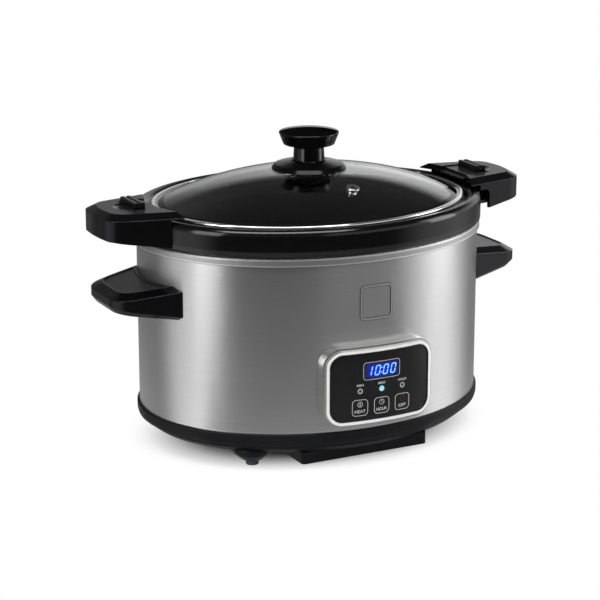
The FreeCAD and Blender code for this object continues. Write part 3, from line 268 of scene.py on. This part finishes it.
def brushed_steel():
    """Stainless sheet brushed round the body: painted shade below the bead, a painted highlight
    along the hem, a painted highlight on the stamped frame and painted shade in its crease.
    """
    material, tree, shader = new_material("brushed_steel")
    fine = noise(tree, (10.0, 10.0, 3200.0), 4.0, 0.6)
    lines = noise(tree, (4.0, 4.0, 900.0), 3.0, 0.6)
    smudge = noise(tree, (14.0, 14.0, 9.0), 4.0)
    # Colour of the painted highlights on the hem and on the stamped frame
    painted_highlight = (0.95, 0.948, 0.95)
    tone = two_tone(tree, lines, (0.652, 0.65, 0.652), (0.682, 0.68, 0.682))
    place = split_place(tree)
    # Painted shade: a dark band just below the bead's flange
    tone = blend_colour(tree, step(tree, place["Z"], *BEAD_SHADE_Z), tone, (0.34, 0.34, 0.345))
    # Painted highlight: a bright line along the shell's lower hem
    tone = blend_colour(tree, step(tree, place["Z"], *HEM_HIGHLIGHT_Z, 1.0, 0.0), tone, painted_highlight)
    depth = inside_outline(tree, place, BADGE_MIDDLE, BADGE_HALF, BADGE_CORNER)
    front = step(tree, place["Y"], *FRONT_Y, 1.0, 0.0)
    # Painted shade in the crease round the stamped frame, on the front only
    crease_shade = band(tree, depth, -BADGE_CREASE_SHADE, BADGE_RIM + BADGE_CREASE_SHADE, 2.0 * BADGE_SOFT)
    tone = blend_colour(tree, value(tree, "MULTIPLY", front, crease_shade), tone, (0.33, 0.33, 0.335))
    # Painted highlight on the raised top of the stamped frame, on the front only
    raised_highlight = band(tree, depth, BADGE_SOFT, BADGE_RIM - BADGE_SOFT, BADGE_SOFT)
    tone = blend_colour(tree, value(tree, "MULTIPLY", front, raised_highlight), tone, painted_highlight)
    rough = value(tree, "ADD", spread(tree, fine, 0.28, 0.32), spread(tree, smudge, -0.02, 0.03))
    surface(tree, shader, tone, rough, bump(tree, fine, 0.05, 0.00002))
    shader.inputs["Metallic"].default_value = 1.0
    shader.inputs["Anisotropic"].default_value = 0.6
    shader.inputs["Anisotropic Rotation"].default_value = 0.25
    tangent = tree.nodes.new("ShaderNodeTangent")
    tangent.direction_type = "RADIAL"
    tangent.axis = "Z"
    tree.links.new(tangent.outputs["Tangent"], shader.inputs["Tangent"])
    return material


def bead_alloy():
    """Satin drawn alloy of the well, with a painted highlight along the lower edge of its rolled
    flange.
    """
    material, tree, shader = new_material("bead_alloy")
    marks = noise(tree, (300.0, 300.0, 900.0), 3.0)
    broad = noise(tree, 18.0, 4.0)
    tone = two_tone(tree, broad, (0.46, 0.458, 0.455), (0.51, 0.508, 0.505))
    # Painted highlight: a bright band along the lower edge of the rolled flange
    rolled_highlight = band(tree, split_place(tree)["Z"], SKIRT_Z, SKIRT_Z + ROLL_HIGHLIGHT_HIGH, ROLL_HIGHLIGHT_SOFT)
    tone = blend_colour(tree, rolled_highlight, tone, (0.90, 0.898, 0.895))
    surface(tree, shader, tone, spread(tree, marks, 0.42, 0.52), bump(tree, marks, 0.06, 0.00003))
    shader.inputs["Metallic"].default_value = 1.0
    return material


def bezel_chrome():
    """Satin chrome on the bezel: a pale, less metallic front lip as a painted highlight, a dark
    inner line as painted shade, polished ledge and sides.
    """
    material, tree, shader = new_material("bezel_chrome")
    place = split_place(tree)
    low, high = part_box("control_bezel")
    middle, half = (low + high) / 2.0, (high - low) / 2.0
    depth = inside_outline(tree, place, (middle.x, middle.z), (half.x, half.z), BEZEL_CORNER)
    front = step(tree, split_normal(tree)["Y"], -0.93, -0.86, 1.0, 0.0)
    # Painted highlight: the flat front lip is pale and less metallic than the rest
    lip_highlight_share = value(tree, "MULTIPLY", front, step(tree, depth, *BEZEL_LIP_HIGHLIGHT))
    # Painted shade: a dark line near the front lip's inner edge
    groove_shade = value(tree, "MULTIPLY", front, step(tree, depth, *BEZEL_GROOVE_SHADE))
    marks = noise(tree, (60.0, 60.0, 900.0), 3.0)
    side = two_tone(tree, marks, (0.72, 0.715, 0.70), (0.80, 0.795, 0.78))
    lip_highlight = two_tone(tree, marks, (0.90, 0.90, 0.895), (0.95, 0.95, 0.945))
    tone = blend_colour(tree, lip_highlight_share, side, lip_highlight)
    tone = blend_colour(tree, groove_shade, tone, (0.10, 0.10, 0.10))
    surface(tree, shader, tone, spread(tree, marks, 0.16, 0.22))
    tree.links.new(step(tree, lip_highlight_share, 0.0, 1.0, 1.0, 0.30), shader.inputs["Metallic"])
    return material


def glaze():
    """Black stoneware glaze: orange peel, pin specks, and a painted reflection as a lighter band on
    the rim's lower lip.
    """
    material, tree, shader = new_material("black_glaze")
    peel = noise(tree, 120.0, 2.0)
    broad = noise(tree, 16.0, 4.0)
    speck = spread(tree, noise(tree, 1500.0, 1.0), 0.0, 1.0, 0.62, 0.72)
    tone = blend_colour(tree, speck, (0.0010, 0.0010, 0.0011), (0.006, 0.006, 0.0062))
    # Painted reflection: a lighter band on the rim's lower lip
    lip_reflection = band(tree, split_place(tree)["Z"], *LIP_REFLECTION_Z, LIP_REFLECTION_SOFT)
    tone = blend_colour(tree, lip_reflection, tone, (0.014, 0.014, 0.0145))
    normal = bump(tree, peel, 0.04, 0.0002, soft_edge(tree, 0.0022))
    surface(tree, shader, tone, spread(tree, broad, 0.10, 0.15), normal)
    return material


def clear_glass():
    """Tempered lid glass with fine marks and a slight wave."""
    material, tree, shader = new_material("lid_glass")
    marks = noise(tree, 70.0, 5.0)
    wave = noise(tree, 9.0, 2.0)
    tone = two_tone(tree, wave, (0.93, 0.96, 0.955), (0.97, 0.985, 0.98))
    surface(tree, shader, tone, spread(tree, marks, 0.0, 0.03), bump(tree, wave, 0.04, 0.002))
    shader.inputs["Transmission Weight"].default_value = 1.0
    shader.inputs["IOR"].default_value = 1.5
    return material


def handle_plastic():
    """Handle moulding: leather-grain matte on the level top, gloss on the bevels and sides."""
    material, tree, shader = new_material("handle_plastic")
    level = spread(tree, split_normal(tree)["Z"], 0.0, 1.0, 0.955, 0.985)
    grain = noise(tree, 1400.0, 3.0)
    broad = noise(tree, 25.0, 4.0)
    dark = two_tone(tree, broad, (0.0010, 0.0010, 0.0012), (0.0022, 0.0022, 0.0025))
    pale = two_tone(tree, grain, (0.0085, 0.0086, 0.0098), (0.015, 0.0152, 0.0172))
    height = value(tree, "MULTIPLY", grain, spread(tree, level, 0.15, 1.0, 0.0, 1.0))
    normal = bump(tree, height, 0.22, 0.00005, soft_edge(tree, 0.0008))
    rough = spread(tree, level, 0.14, 0.34, 0.0, 1.0)
    surface(tree, shader, blend_colour(tree, level, dark, pale), rough, normal)
    shine = spread(tree, level, 0.36, 0.5, 0.0, 1.0)
    tree.links.new(shine, shader.inputs["Specular IOR Level"])
    shader.inputs["Specular Tint"].default_value = (0.90, 0.91, 1.0, 1.0)
    return material


def knob_plastic():
    """Black knob moulding: polished sides, dark top with a sheen along its back edge."""
    material, tree, shader = new_material("knob_plastic")
    broad = noise(tree, 30.0, 4.0)
    fine = noise(tree, 700.0, 2.0)
    tone = two_tone(tree, broad, (0.0016, 0.0016, 0.0017), (0.0032, 0.0032, 0.0034))
    rough = spread(tree, broad, 0.10, 0.15)
    surface(tree, shader, tone, rough, bump(tree, fine, 0.04, 0.00003))
    place = split_place(tree)
    aside = [value(tree, "ADD", place[axis], share * KNOB_EDGE) for axis, share in SHEEN_SHIFT]
    near, far = [share * KNOB_EDGE for share in SHEEN_REACH]
    sheen = step(tree, length(tree, *aside), near, far, 0.0, 0.30)
    sides = step(tree, split_normal(tree)["Z"], 0.75, 0.95, 0.34, 0.0)
    tree.links.new(value(tree, "MAXIMUM", sides, sheen), shader.inputs["Specular IOR Level"])
    return material


def lamp(name, colour, power, dim=0.75):
    """Backlit surface with an uneven glow."""
    material, tree, shader = new_material(name)
    glow = noise(tree, 160.0, 2.0)
    tone = two_tone(tree, glow, shaded(colour, dim), colour)
    rough = spread(tree, glow, 0.12, 0.2)
    lit_surface(tree, shader, shaded(colour, 0.2), tone, power, rough)
    return material


def display_glow(node):
    """Blue backlight behind the display, fading to navy at the window's edges."""
    material, tree, shader = new_material("display_blue")
    low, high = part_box(node)
    place = split_place(tree)
    grain = spread(tree, noise(tree, 500.0, 2.0), 0.9, 1.0)
    lit = grain
    for axis, near, far in (("X", low.x, high.x), ("Z", low.z, high.z)):
        middle = (near + far) / 2.0
        away = value(tree, "ABSOLUTE", value(tree, "SUBTRACT", place[axis], middle))
        start, end = [share * (far - near) for share in GLOW_FADE]
        lit = value(tree, "MULTIPLY", lit, step(tree, away, start, end, 1.0, 0.0))
    tone = blend_colour(tree, lit, (0.010, 0.012, 0.055), (0.0, 0.022, 0.62))
    rough = spread(tree, grain, 0.16, 0.22, 0.9, 1.0)
    lit_surface(tree, shader, (0.003, 0.003, 0.006), tone, 1.0, rough)
    return material


handle = handle_plastic()
gloss_black = moulded(
    "gloss_black", (0.0020, 0.0020, 0.0021), 0.12, 500.0, 0.00003, 0.05, shine=0.12)
panel_black = moulded("panel_black", (0.0075, 0.0075, 0.008), 0.22, 700.0, 0.00002, 0.05)
base_black = moulded(
    "base_charcoal", (0.0085, 0.0088, 0.0105), 0.38, 1300.0, 0.00006, 0.25, shine=0.10)
rubber = moulded("foot_rubber", (0.05, 0.058, 0.072), 0.62, 1500.0, 0.00008, 0.4)
soft_black = moulded("soft_black", (0.012, 0.012, 0.0125), 0.5, 1200.0, 0.00006, 0.35)
polished = metal("polished_ring", (0.88, 0.87, 0.85), 0.10, (40.0, 40.0, 1800.0), 0.03, 0.04)
alloy = metal("well_alloy", (0.48, 0.478, 0.475), 0.46, (300.0, 300.0, 900.0), 0.06, 0.05)
zinc = metal("zinc_plate", (0.58, 0.58, 0.56), 0.28, 1500.0, 0.12)
board_green = moulded("board_green", (0.03, 0.16, 0.06), 0.35, 1600.0)
part_blue = moulded("component_blue", (0.03, 0.08, 0.28), 0.4, 1000.0)
part_grey = moulded("component_grey", (0.12, 0.12, 0.12), 0.45, 1000.0)
part_pale = moulded("lead_sleeve", (0.7, 0.69, 0.66), 0.5, 1000.0)
brass = metal("fuse_brass", (0.7, 0.52, 0.26), 0.3)

FINISH = {
    "outer_shell": brushed_steel(),
    "heating_well": bead_alloy(),
    "base_pan": base_black,
    "control_box": base_black,
    "control_bezel": bezel_chrome(),
    "control_panel": panel_black,
    "display_window": display_glow("display_window"),
    "display_module": part_grey,
    "crock": glaze(),
    "lid_glass": clear_glass(),
    "lid_ring": polished,
    "vent_grommet": polished,
    "knob": knob_plastic(),
    "knob_base": gloss_black,
    "knob_screw": zinc,
    "knob_washer": soft_black,
    "cord_gland": soft_black,
    "heater_band": alloy,
    "heat_shield": alloy,
    "centre_stud": zinc,
    "centre_nut": zinc,
    "spacer_lower": alloy,
    "spacer_upper": alloy,
    "temperature_sensor": alloy,
    "thermal_fuse": brass,
    "heater_leads": part_pale,
    "ribbon_cable": part_grey,
    "capacitor": part_blue,
    "relay": part_blue,
    "transformer": part_grey,
    "terminal_block": board_green,
    "power_board": board_green,
    "control_board": board_green,
    "tact_switches": part_grey,
    "indicator_high": lamp("indicator_lit", (0.30, 0.70, 0.90), 1.05),
}
PREFIXES = (
    ("rubber_foot", rubber),
    ("indicator", moulded("indicator_dark", (0.03, 0.04, 0.045), 0.25)),
    ("key", panel_black),
    ("side_handle", handle),
    ("lock_handle", handle),
    ("latch", handle),
    ("handle_underside", soft_black),
    ("lock_plate", soft_black),
)
# The nodes named in neither table are the other screws and the heater band's springs
for name, node in nodes.items():
    finish = FINISH.get(name)
    if finish is None:
        finish = next((m for prefix, m in PREFIXES if name.startswith(prefix)), zinc)
    node.data.materials.clear()
    node.data.materials.append(finish)


# Prints and lit digits on the curved panel face
OVAL = SHELL_HIGH.y / SHELL_HIGH.x
PANEL_FRONT = -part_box("control_panel")[0].y
PRINT_LIFT = 0.00006
PRINT_THICK = 0.00010
SAME_POINT = 0.000005
LONG_EDGE = 0.002
EDGE_CUTS = 9
LINE = 0.00042
LETTER_WEIGHT = 0.018

WINDOW_MARGIN = 0.0009
WINDOW_CORNER = 0.0026
# Node, its word and the word's width
LABELS = (
    ("indicator_low", "MIN", 0.0054),
    ("indicator_high", "MAX", 0.0062),
    ("indicator_warm", "HOLD", 0.0074),
)
LABEL_RISE = 0.0046
LABEL_HIGH = 0.0019
LAMP_RING = 0.0021
LAMP_LINE = 0.0007

SLANT = math.tan(math.radians(11.0))
DIGIT_HIGH = 0.0080
DIGIT_WIDE = 0.0044
DIGIT_LINE = 0.00085
DIGIT_GAP = DIGIT_LINE * 0.12
SEGMENTS = {"0": "abcdef", "1": "bc"}
# Figure and its place across the window
DIGITS = (("1", -0.0105), ("0", -0.0036), ("0", 0.0032), ("0", 0.0098))
COLON_SIDE = -0.0004
COLON_RISE = 0.0017
COLON_HALF = 0.0006
COLON_LINE = 0.0009

# Node, its word and the word's width
KEYS = (
    ("key_temp", "HEAT", 0.0088),
    ("key_time", "HOUR", 0.0090),
    ("key_stop", "OFF", 0.0066),
)
KEY_HALF = 0.0065
KEY_CORNER = 0.0031
KEY_LINE = LINE * 1.15
WORD_DROP = 0.0029
WORD_HIGH = 0.0025
ICON_RISE = 0.0026
ICON_RADIUS = 0.0022
BAR_HALF = 0.0013
BAR_LINE = 0.0007
CLOCK_HANDS = ((0.0, 0.0015), (0.0011, -0.0007))
HAND_LINE = 0.0005
STOP_HALF = 0.0021
STOP_CORNER = 0.0012
STOP_LINE = LINE * 1.4


def centre(node):
    """Middle of a node, seen from the front."""
    low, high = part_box(node)
    return (low.x + high.x) / 2.0, (low.z + high.z) / 2.0


def on_panel(x, z):
    """Point just in front of the curved panel face."""
    depth = math.sqrt(PANEL_FRONT ** 2 - (OVAL * x) ** 2)
    return Vector((x, -depth - PRINT_LIFT, z))


def rounded(x, z, half_w, half_h, corner, steps=6):
    """Points round a rounded rectangle, a circle where the corner equals the half sizes."""
    points = []
    for quarter, (side, rise) in enumerate(((1, -1), (1, 1), (-1, 1), (-1, -1))):
        for i in range(steps + 1):
            turn = math.radians(90.0 * (quarter - 1 + i / steps))
            across = side * (half_w - corner) + corner * math.cos(turn)
            along = rise * (half_h - corner) + corner * math.sin(turn)
            points.append((x + across, z + along))
    return points


def outlined(x, z, half_w, half_h, corner, line):
    """Quads of a line drawn just inside a rounded rectangle."""
    outer = rounded(x, z, half_w, half_h, corner)
    inner = rounded(x, z, half_w - line, half_h - line, corner - line)
    quads = []
    for i in range(len(outer)):
        after = (i + 1) % len(outer)
        quads.append([outer[i], outer[after], inner[after], inner[i]])
    return quads


def circled(x, z, radius, line):
    """Quads of a line drawn just inside a circle."""
    return outlined(x, z, radius, radius, radius, line)


def stroke(start, end, line):
    """Straight stroke with pointed ends, as on a segment display."""
    a, b = Vector(start), Vector(end)
    run = (b - a).normalized() * (line / 2.0)
    side = Vector((-run.y, run.x))
    corners = (a, a + run - side, b - run - side, b, b - run + side, a + run + side)
    return [tuple(corner) for corner in corners]


def digit(text, x, z):
    """Slanted seven-segment figure."""
    w = DIGIT_WIDE / 2.0 - DIGIT_LINE / 2.0
    h = DIGIT_HIGH / 2.0 - DIGIT_LINE / 2.0
    gap = DIGIT_GAP
    ends = {
        "a": ((-w + gap, h), (w - gap, h)),
        "b": ((w, h - gap), (w, gap)),
        "c": ((w, -gap), (w, -h + gap)),
        "d": ((-w + gap, -h), (w - gap, -h)),
        "e": ((-w, -h + gap), (-w, -gap)),
        "f": ((-w, gap), (-w, h - gap)),
    }
    shapes = [stroke(*ends[segment], DIGIT_LINE) for segment in SEGMENTS[text]]
    return [[(x + u + v * SLANT, z + v) for u, v in shape] for shape in shapes]


def word(text, x, z, wide, high):
    """Filled letters of a plain word, fitted to a width and a height."""
    curve = bpy.data.curves.new("word", "FONT")
    curve.body = text
    curve.offset = LETTER_WEIGHT
    holder = bpy.data.objects.new("word", curve)
    mesh = bpy.data.meshes.new_from_object(holder)
    us = [v.co.x for v in mesh.vertices]
    vs = [v.co.y for v in mesh.vertices]
    scale_u, scale_v = wide / (max(us) - min(us)), high / (max(vs) - min(vs))
    mid_u, mid_v = (max(us) + min(us)) / 2.0, (max(vs) + min(vs)) / 2.0
    shapes = []
    for face in mesh.polygons:
        corners = [mesh.vertices[i].co for i in face.vertices]
        shapes.append(
            [(x + (c.x - mid_u) * scale_u, z + (c.y - mid_v) * scale_v) for c in corners])
    bpy.data.objects.remove(holder)
    bpy.data.curves.remove(curve)
    bpy.data.meshes.remove(mesh)
    return shapes


def print_piece(name, body, shapes, material):
    """Thin raised print laid on the panel face."""
    shape = bmesh.new()
    for corners in shapes:
        points = [shape.verts.new(on_panel(*corner)) for corner in corners]
        shape.faces.new(points)
    bmesh.ops.remove_doubles(shape, verts=shape.verts, dist=SAME_POINT)
    long_edges = [e for e in shape.edges if abs(e.verts[0].co.x - e.verts[1].co.x) > LONG_EDGE]
    bmesh.ops.subdivide_edges(shape, edges=long_edges, cuts=EDGE_CUTS, use_grid_fill=True)
    for point in shape.verts:
        point.co = on_panel(point.co.x, point.co.z)
    bmesh.ops.recalc_face_normals(shape, faces=shape.faces)
    backward = [f for f in shape.faces if f.normal.y > 0.0]
    bmesh.ops.reverse_faces(shape, faces=backward)
    mesh = bpy.data.meshes.new(name)
    shape.to_mesh(mesh)
    shape.free()
    mesh.materials.append(material)
    piece = bpy.data.objects.new(name, mesh)
    scene.collection.objects.link(piece)
    thick = piece.modifiers.new("thickness", "SOLIDIFY")
    thick.thickness = PRINT_THICK
    thick.offset = 1.0
    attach(piece, body)


print_white = moulded("print_white", (0.40, 0.40, 0.40), 0.45, 1500.0, 0.00002, 0.1, 0.08)
print_red = moulded("print_red", (0.050, 0.008, 0.007), 0.45, 1500.0, 0.00002, 0.1, 0.12)
digit_light = lamp("digit_light", (0.30, 0.72, 1.0), 1.0, 0.9)

win_x, win_z = centre("display_window")
win_low, win_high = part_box("display_window")
frame_w = (win_high.x - win_low.x) / 2.0 + WINDOW_MARGIN
frame_h = (win_high.z - win_low.z) / 2.0 + WINDOW_MARGIN
marks = outlined(win_x, win_z, frame_w, frame_h, WINDOW_CORNER, LINE)
for node, text, wide in LABELS:
    x, z = centre(node)
    marks += word(text, x, z + LABEL_RISE, wide, LABEL_HIGH)
    if node != "indicator_high":
        marks += circled(x, z, LAMP_RING, LAMP_LINE)
print_piece("panel_prints", "base", marks, print_white)

figures = []
for text, across in DIGITS:
    figures += digit(text, win_x + across, win_z)
for rise in (-COLON_RISE, COLON_RISE):
    x, z = win_x + COLON_SIDE + rise * SLANT, win_z + rise
    figures.append(stroke((x, z - COLON_HALF), (x, z + COLON_HALF), COLON_LINE))
print_piece("display_digits", "base", figures, digit_light)

for node, text, wide in KEYS:
    x, z = centre(node)
    icon = z + ICON_RISE
    marks = outlined(x, z, KEY_HALF, KEY_HALF, KEY_CORNER, KEY_LINE)
    marks += word(text, x, z - WORD_DROP, wide, WORD_HIGH)
    if node == "key_stop":
        sign = outlined(x, icon, STOP_HALF, STOP_HALF, STOP_CORNER, STOP_LINE)
        print_piece("key_symbol_stop", node, sign, print_red)
    else:
        marks += circled(x, icon, ICON_RADIUS, LINE)
    if node == "key_temp":
        marks.append(stroke((x, icon - BAR_HALF), (x, icon + BAR_HALF), BAR_LINE))
    if node == "key_time":
        marks += [stroke((x, icon), (x + u, icon + v), HAND_LINE) for u, v in CLOCK_HANDS]
    print_piece(node.replace("key_", "key_print_"), node, marks, print_white)


# Camera at the photograph's viewing angle
AZIMUTH = math.radians(-26.8)
ELEVATION = math.radians(15.73)
DISTANCE = 1.651
SIDE_STEP = 0.00696
TARGET_Z = 0.10267
SENSOR_WIDTH = 36.0
FOCAL_LENGTH = 123.84
level_out = math.cos(ELEVATION)
back = Vector((
    math.sin(AZIMUTH) * level_out, -math.cos(AZIMUTH) * level_out, math.sin(ELEVATION)))
right = Vector((math.cos(AZIMUTH), math.sin(AZIMUTH), 0.0))
up = back.cross(right)
lens = bpy.data.cameras.new("camera")
lens.sensor_width = SENSOR_WIDTH
lens.lens = FOCAL_LENGTH
camera = bpy.data.objects.new("camera", lens)
scene.collection.objects.link(camera)
place = Vector((0.0, 0.0, TARGET_Z)) + back * DISTANCE - right * SIDE_STEP
turned = Matrix((right, up, back)).transposed().to_4x4()
camera.matrix_world = Matrix.Translation(place) @ turned
scene.camera = camera


# Studio: pale floor, white surround, soft lights
FLOOR_SIZE = 8.0
SHADOW_HALF = (0.140, 0.1064)
SHADOW_FADE = (0.64, 1.12)
# The floor in reflections: a glow that thins out with distance, paler behind the object
NEAR_GLOW = 0.060
NEAR_REACH = 0.15
BACK_Y = (-0.05, 0.25)
BACK_LEVEL = 0.10
STRIP_LEVEL = 0.68
# A point of the wall, and where a strip starts, is full, fades and ends round it, in degrees
STRIPS = (
    ((-0.124, -0.052), (-138.0, -102.0, -88.0, -60.0)),
    ((0.066, -0.098), (30.0, 64.0, 82.0, 118.0)),
)
# The surround in reflections: directions round the object in degrees, and upward shares
BACKDROP_TURN = (6.0, 36.0)
BACKDROP_LEVEL = (0.07, 0.82)
BACKDROP_TOP = (0.30, 0.46)
LEFT_TURN = (-8.0, 20.0)
LEFT_LEVEL = 0.08
LEFT_TOP = (0.55, 0.85)
CEILING_UP = (0.15, 0.55)
CEILING_LEVEL = (0.02, 0.07)
FILL = (0.5, 0.5, 0.5)
WHITE = (1.0, 1.0, 1.0)
# Name, power, width, height, place and the point that it faces
LIGHTS = (
    ("top_light", 16.0, 1.3, 0.45, (-0.20, -0.42, 1.35), (0.0, 0.0, 0.1)),
    ("left_light", 5.0, 0.5, 0.9, (-1.2, -0.35, 0.45), (0.0, 0.0, 0.12)),
    ("right_light", 5.0, 0.5, 0.9, (1.2, -0.45, 0.45), (0.0, 0.0, 0.12)),
)


def in_radians(turns):
    """Angles in degrees as radians."""
    return [math.radians(turn) for turn in turns]


def strip(tree, x, y, wall, turns):
    """Soft-edged strip of floor between two directions from a point of the wall, zero ahead."""
    across = value(tree, "SUBTRACT", x, wall[0])
    ahead = value(tree, "SUBTRACT", wall[1], y)
    angle = value(tree, "ARCTAN2", across, ahead)
    start, full, fade, end = in_radians(turns)
    first = step(tree, angle, start, full)
    return value(tree, "MULTIPLY", first, step(tree, angle, fade, end, 1.0, 0.0))


def mix_shaders(tree, factor, first, second):
    """First shader where the factor is zero, second where it is one."""
    node = tree.nodes.new("ShaderNodeMixShader")
    for socket, source in zip(node.inputs, (factor, first, second)):
        tree.links.new(source, socket)
    return node.outputs["Shader"]


def floor_material():
    """Pale floor: white to the camera away from the object, strips in mirror-like reflections."""
    material, tree, shader = new_material("floor")
    shader.inputs["Base Color"].default_value = (0.92, 0.92, 0.92, 1.0)
    shader.inputs["Roughness"].default_value = 0.9
    shader.inputs["Specular IOR Level"].default_value = 0.0
    path = tree.nodes.new("ShaderNodeLightPath")
    point = split_vector(tree, "ShaderNodeNewGeometry", "Position")
    x, y = point["X"], point["Y"]
    reach = value(tree, "MAXIMUM", length(tree, x, y), NEAR_REACH)
    level = value(tree, "DIVIDE", NEAR_GLOW, reach)
    level = value(tree, "ADD", level, step(tree, y, *BACK_Y, 0.0, BACK_LEVEL))
    for wall, turns in STRIPS:
        painted_highlight = value(tree, "MULTIPLY", strip(tree, x, y, wall, turns), STRIP_LEVEL)
        level = value(tree, "ADD", level, painted_highlight)
    glow = tree.nodes.new("ShaderNodeEmission")
    tree.links.new(grey(tree, level), glow.inputs["Color"])
    white = tree.nodes.new("ShaderNodeEmission")
    shares = [value(tree, "DIVIDE", side, half) for side, half in zip((x, y), SHADOW_HALF)]
    outside = step(tree, length(tree, *shares), *SHADOW_FADE)
    far = value(tree, "MULTIPLY", outside, path.outputs["Is Camera Ray"])
    plain = mix_shaders(tree, far, shader.outputs["BSDF"], white.outputs["Emission"])
    mixed = mix_shaders(tree, path.outputs["Is Glossy Ray"], plain, glow.outputs["Emission"])
    tree.links.new(mixed, tree.nodes["Material Output"].inputs["Surface"])
    return material


def add_floor():
    """Square floor at the height of the feet."""
    mesh = bpy.data.meshes.new("floor")
    shape = bmesh.new()
    bmesh.ops.create_grid(shape, x_segments=1, y_segments=1, size=0.5)
    shape.to_mesh(mesh)
    shape.free()
    plane = bpy.data.objects.new("floor", mesh)
    plane.scale = (FLOOR_SIZE, FLOOR_SIZE, 1.0)
    scene.collection.objects.link(plane)
    mesh.materials.append(floor_material())


def surround_light():
    """White to the camera; in reflections a pale backdrop behind on the right, dark above."""
    world = bpy.data.worlds.new("surround")
    scene.world = world
    world.use_nodes = True
    tree = world.node_tree
    surround = tree.nodes["Background"]
    path = tree.nodes.new("ShaderNodeLightPath")
    way = split_vector(tree, "ShaderNodeTexCoord", "Generated")
    height = way["Z"]
    angle = value(tree, "ARCTAN2", way["X"], way["Y"])
    side = step(tree, angle, *in_radians(BACKDROP_TURN), *BACKDROP_LEVEL)
    backdrop = value(tree, "MULTIPLY", side, step(tree, height, *BACKDROP_TOP, 1.0, 0.0))
    left = step(tree, angle, *in_radians(LEFT_TURN), LEFT_LEVEL, 0.0)
    dim = value(tree, "MULTIPLY", left, step(tree, height, *LEFT_TOP, 1.0, 0.0))
    rest = value(tree, "ADD", dim, step(tree, height, *CEILING_UP, *CEILING_LEVEL))
    mirror = value(tree, "ADD", backdrop, rest)
    fill = blend_colour(tree, path.outputs["Is Glossy Ray"], FILL, grey(tree, mirror))
    tone = blend_colour(tree, path.outputs["Is Camera Ray"], fill, WHITE)
    tree.links.new(tone, surround.inputs["Color"])
    surround.inputs["Strength"].default_value = 1.0


def soft_light(name, power, size_x, size_y, location, look_at):
    """Rectangular lamp that faces a point."""
    data = bpy.data.lights.new(name, "AREA")
    data.shape = "RECTANGLE"
    data.size = size_x
    data.size_y = size_y
    data.energy = power
    light = bpy.data.objects.new(name, data)
    light.location = location
    away = Vector(location) - Vector(look_at)
    light.rotation_euler = away.to_track_quat("Z", "Y").to_euler()
    scene.collection.objects.link(light)


add_floor()
surround_light()
for light in LIGHTS:
    soft_light(*light)

scene.view_settings.view_transform = "Standard"
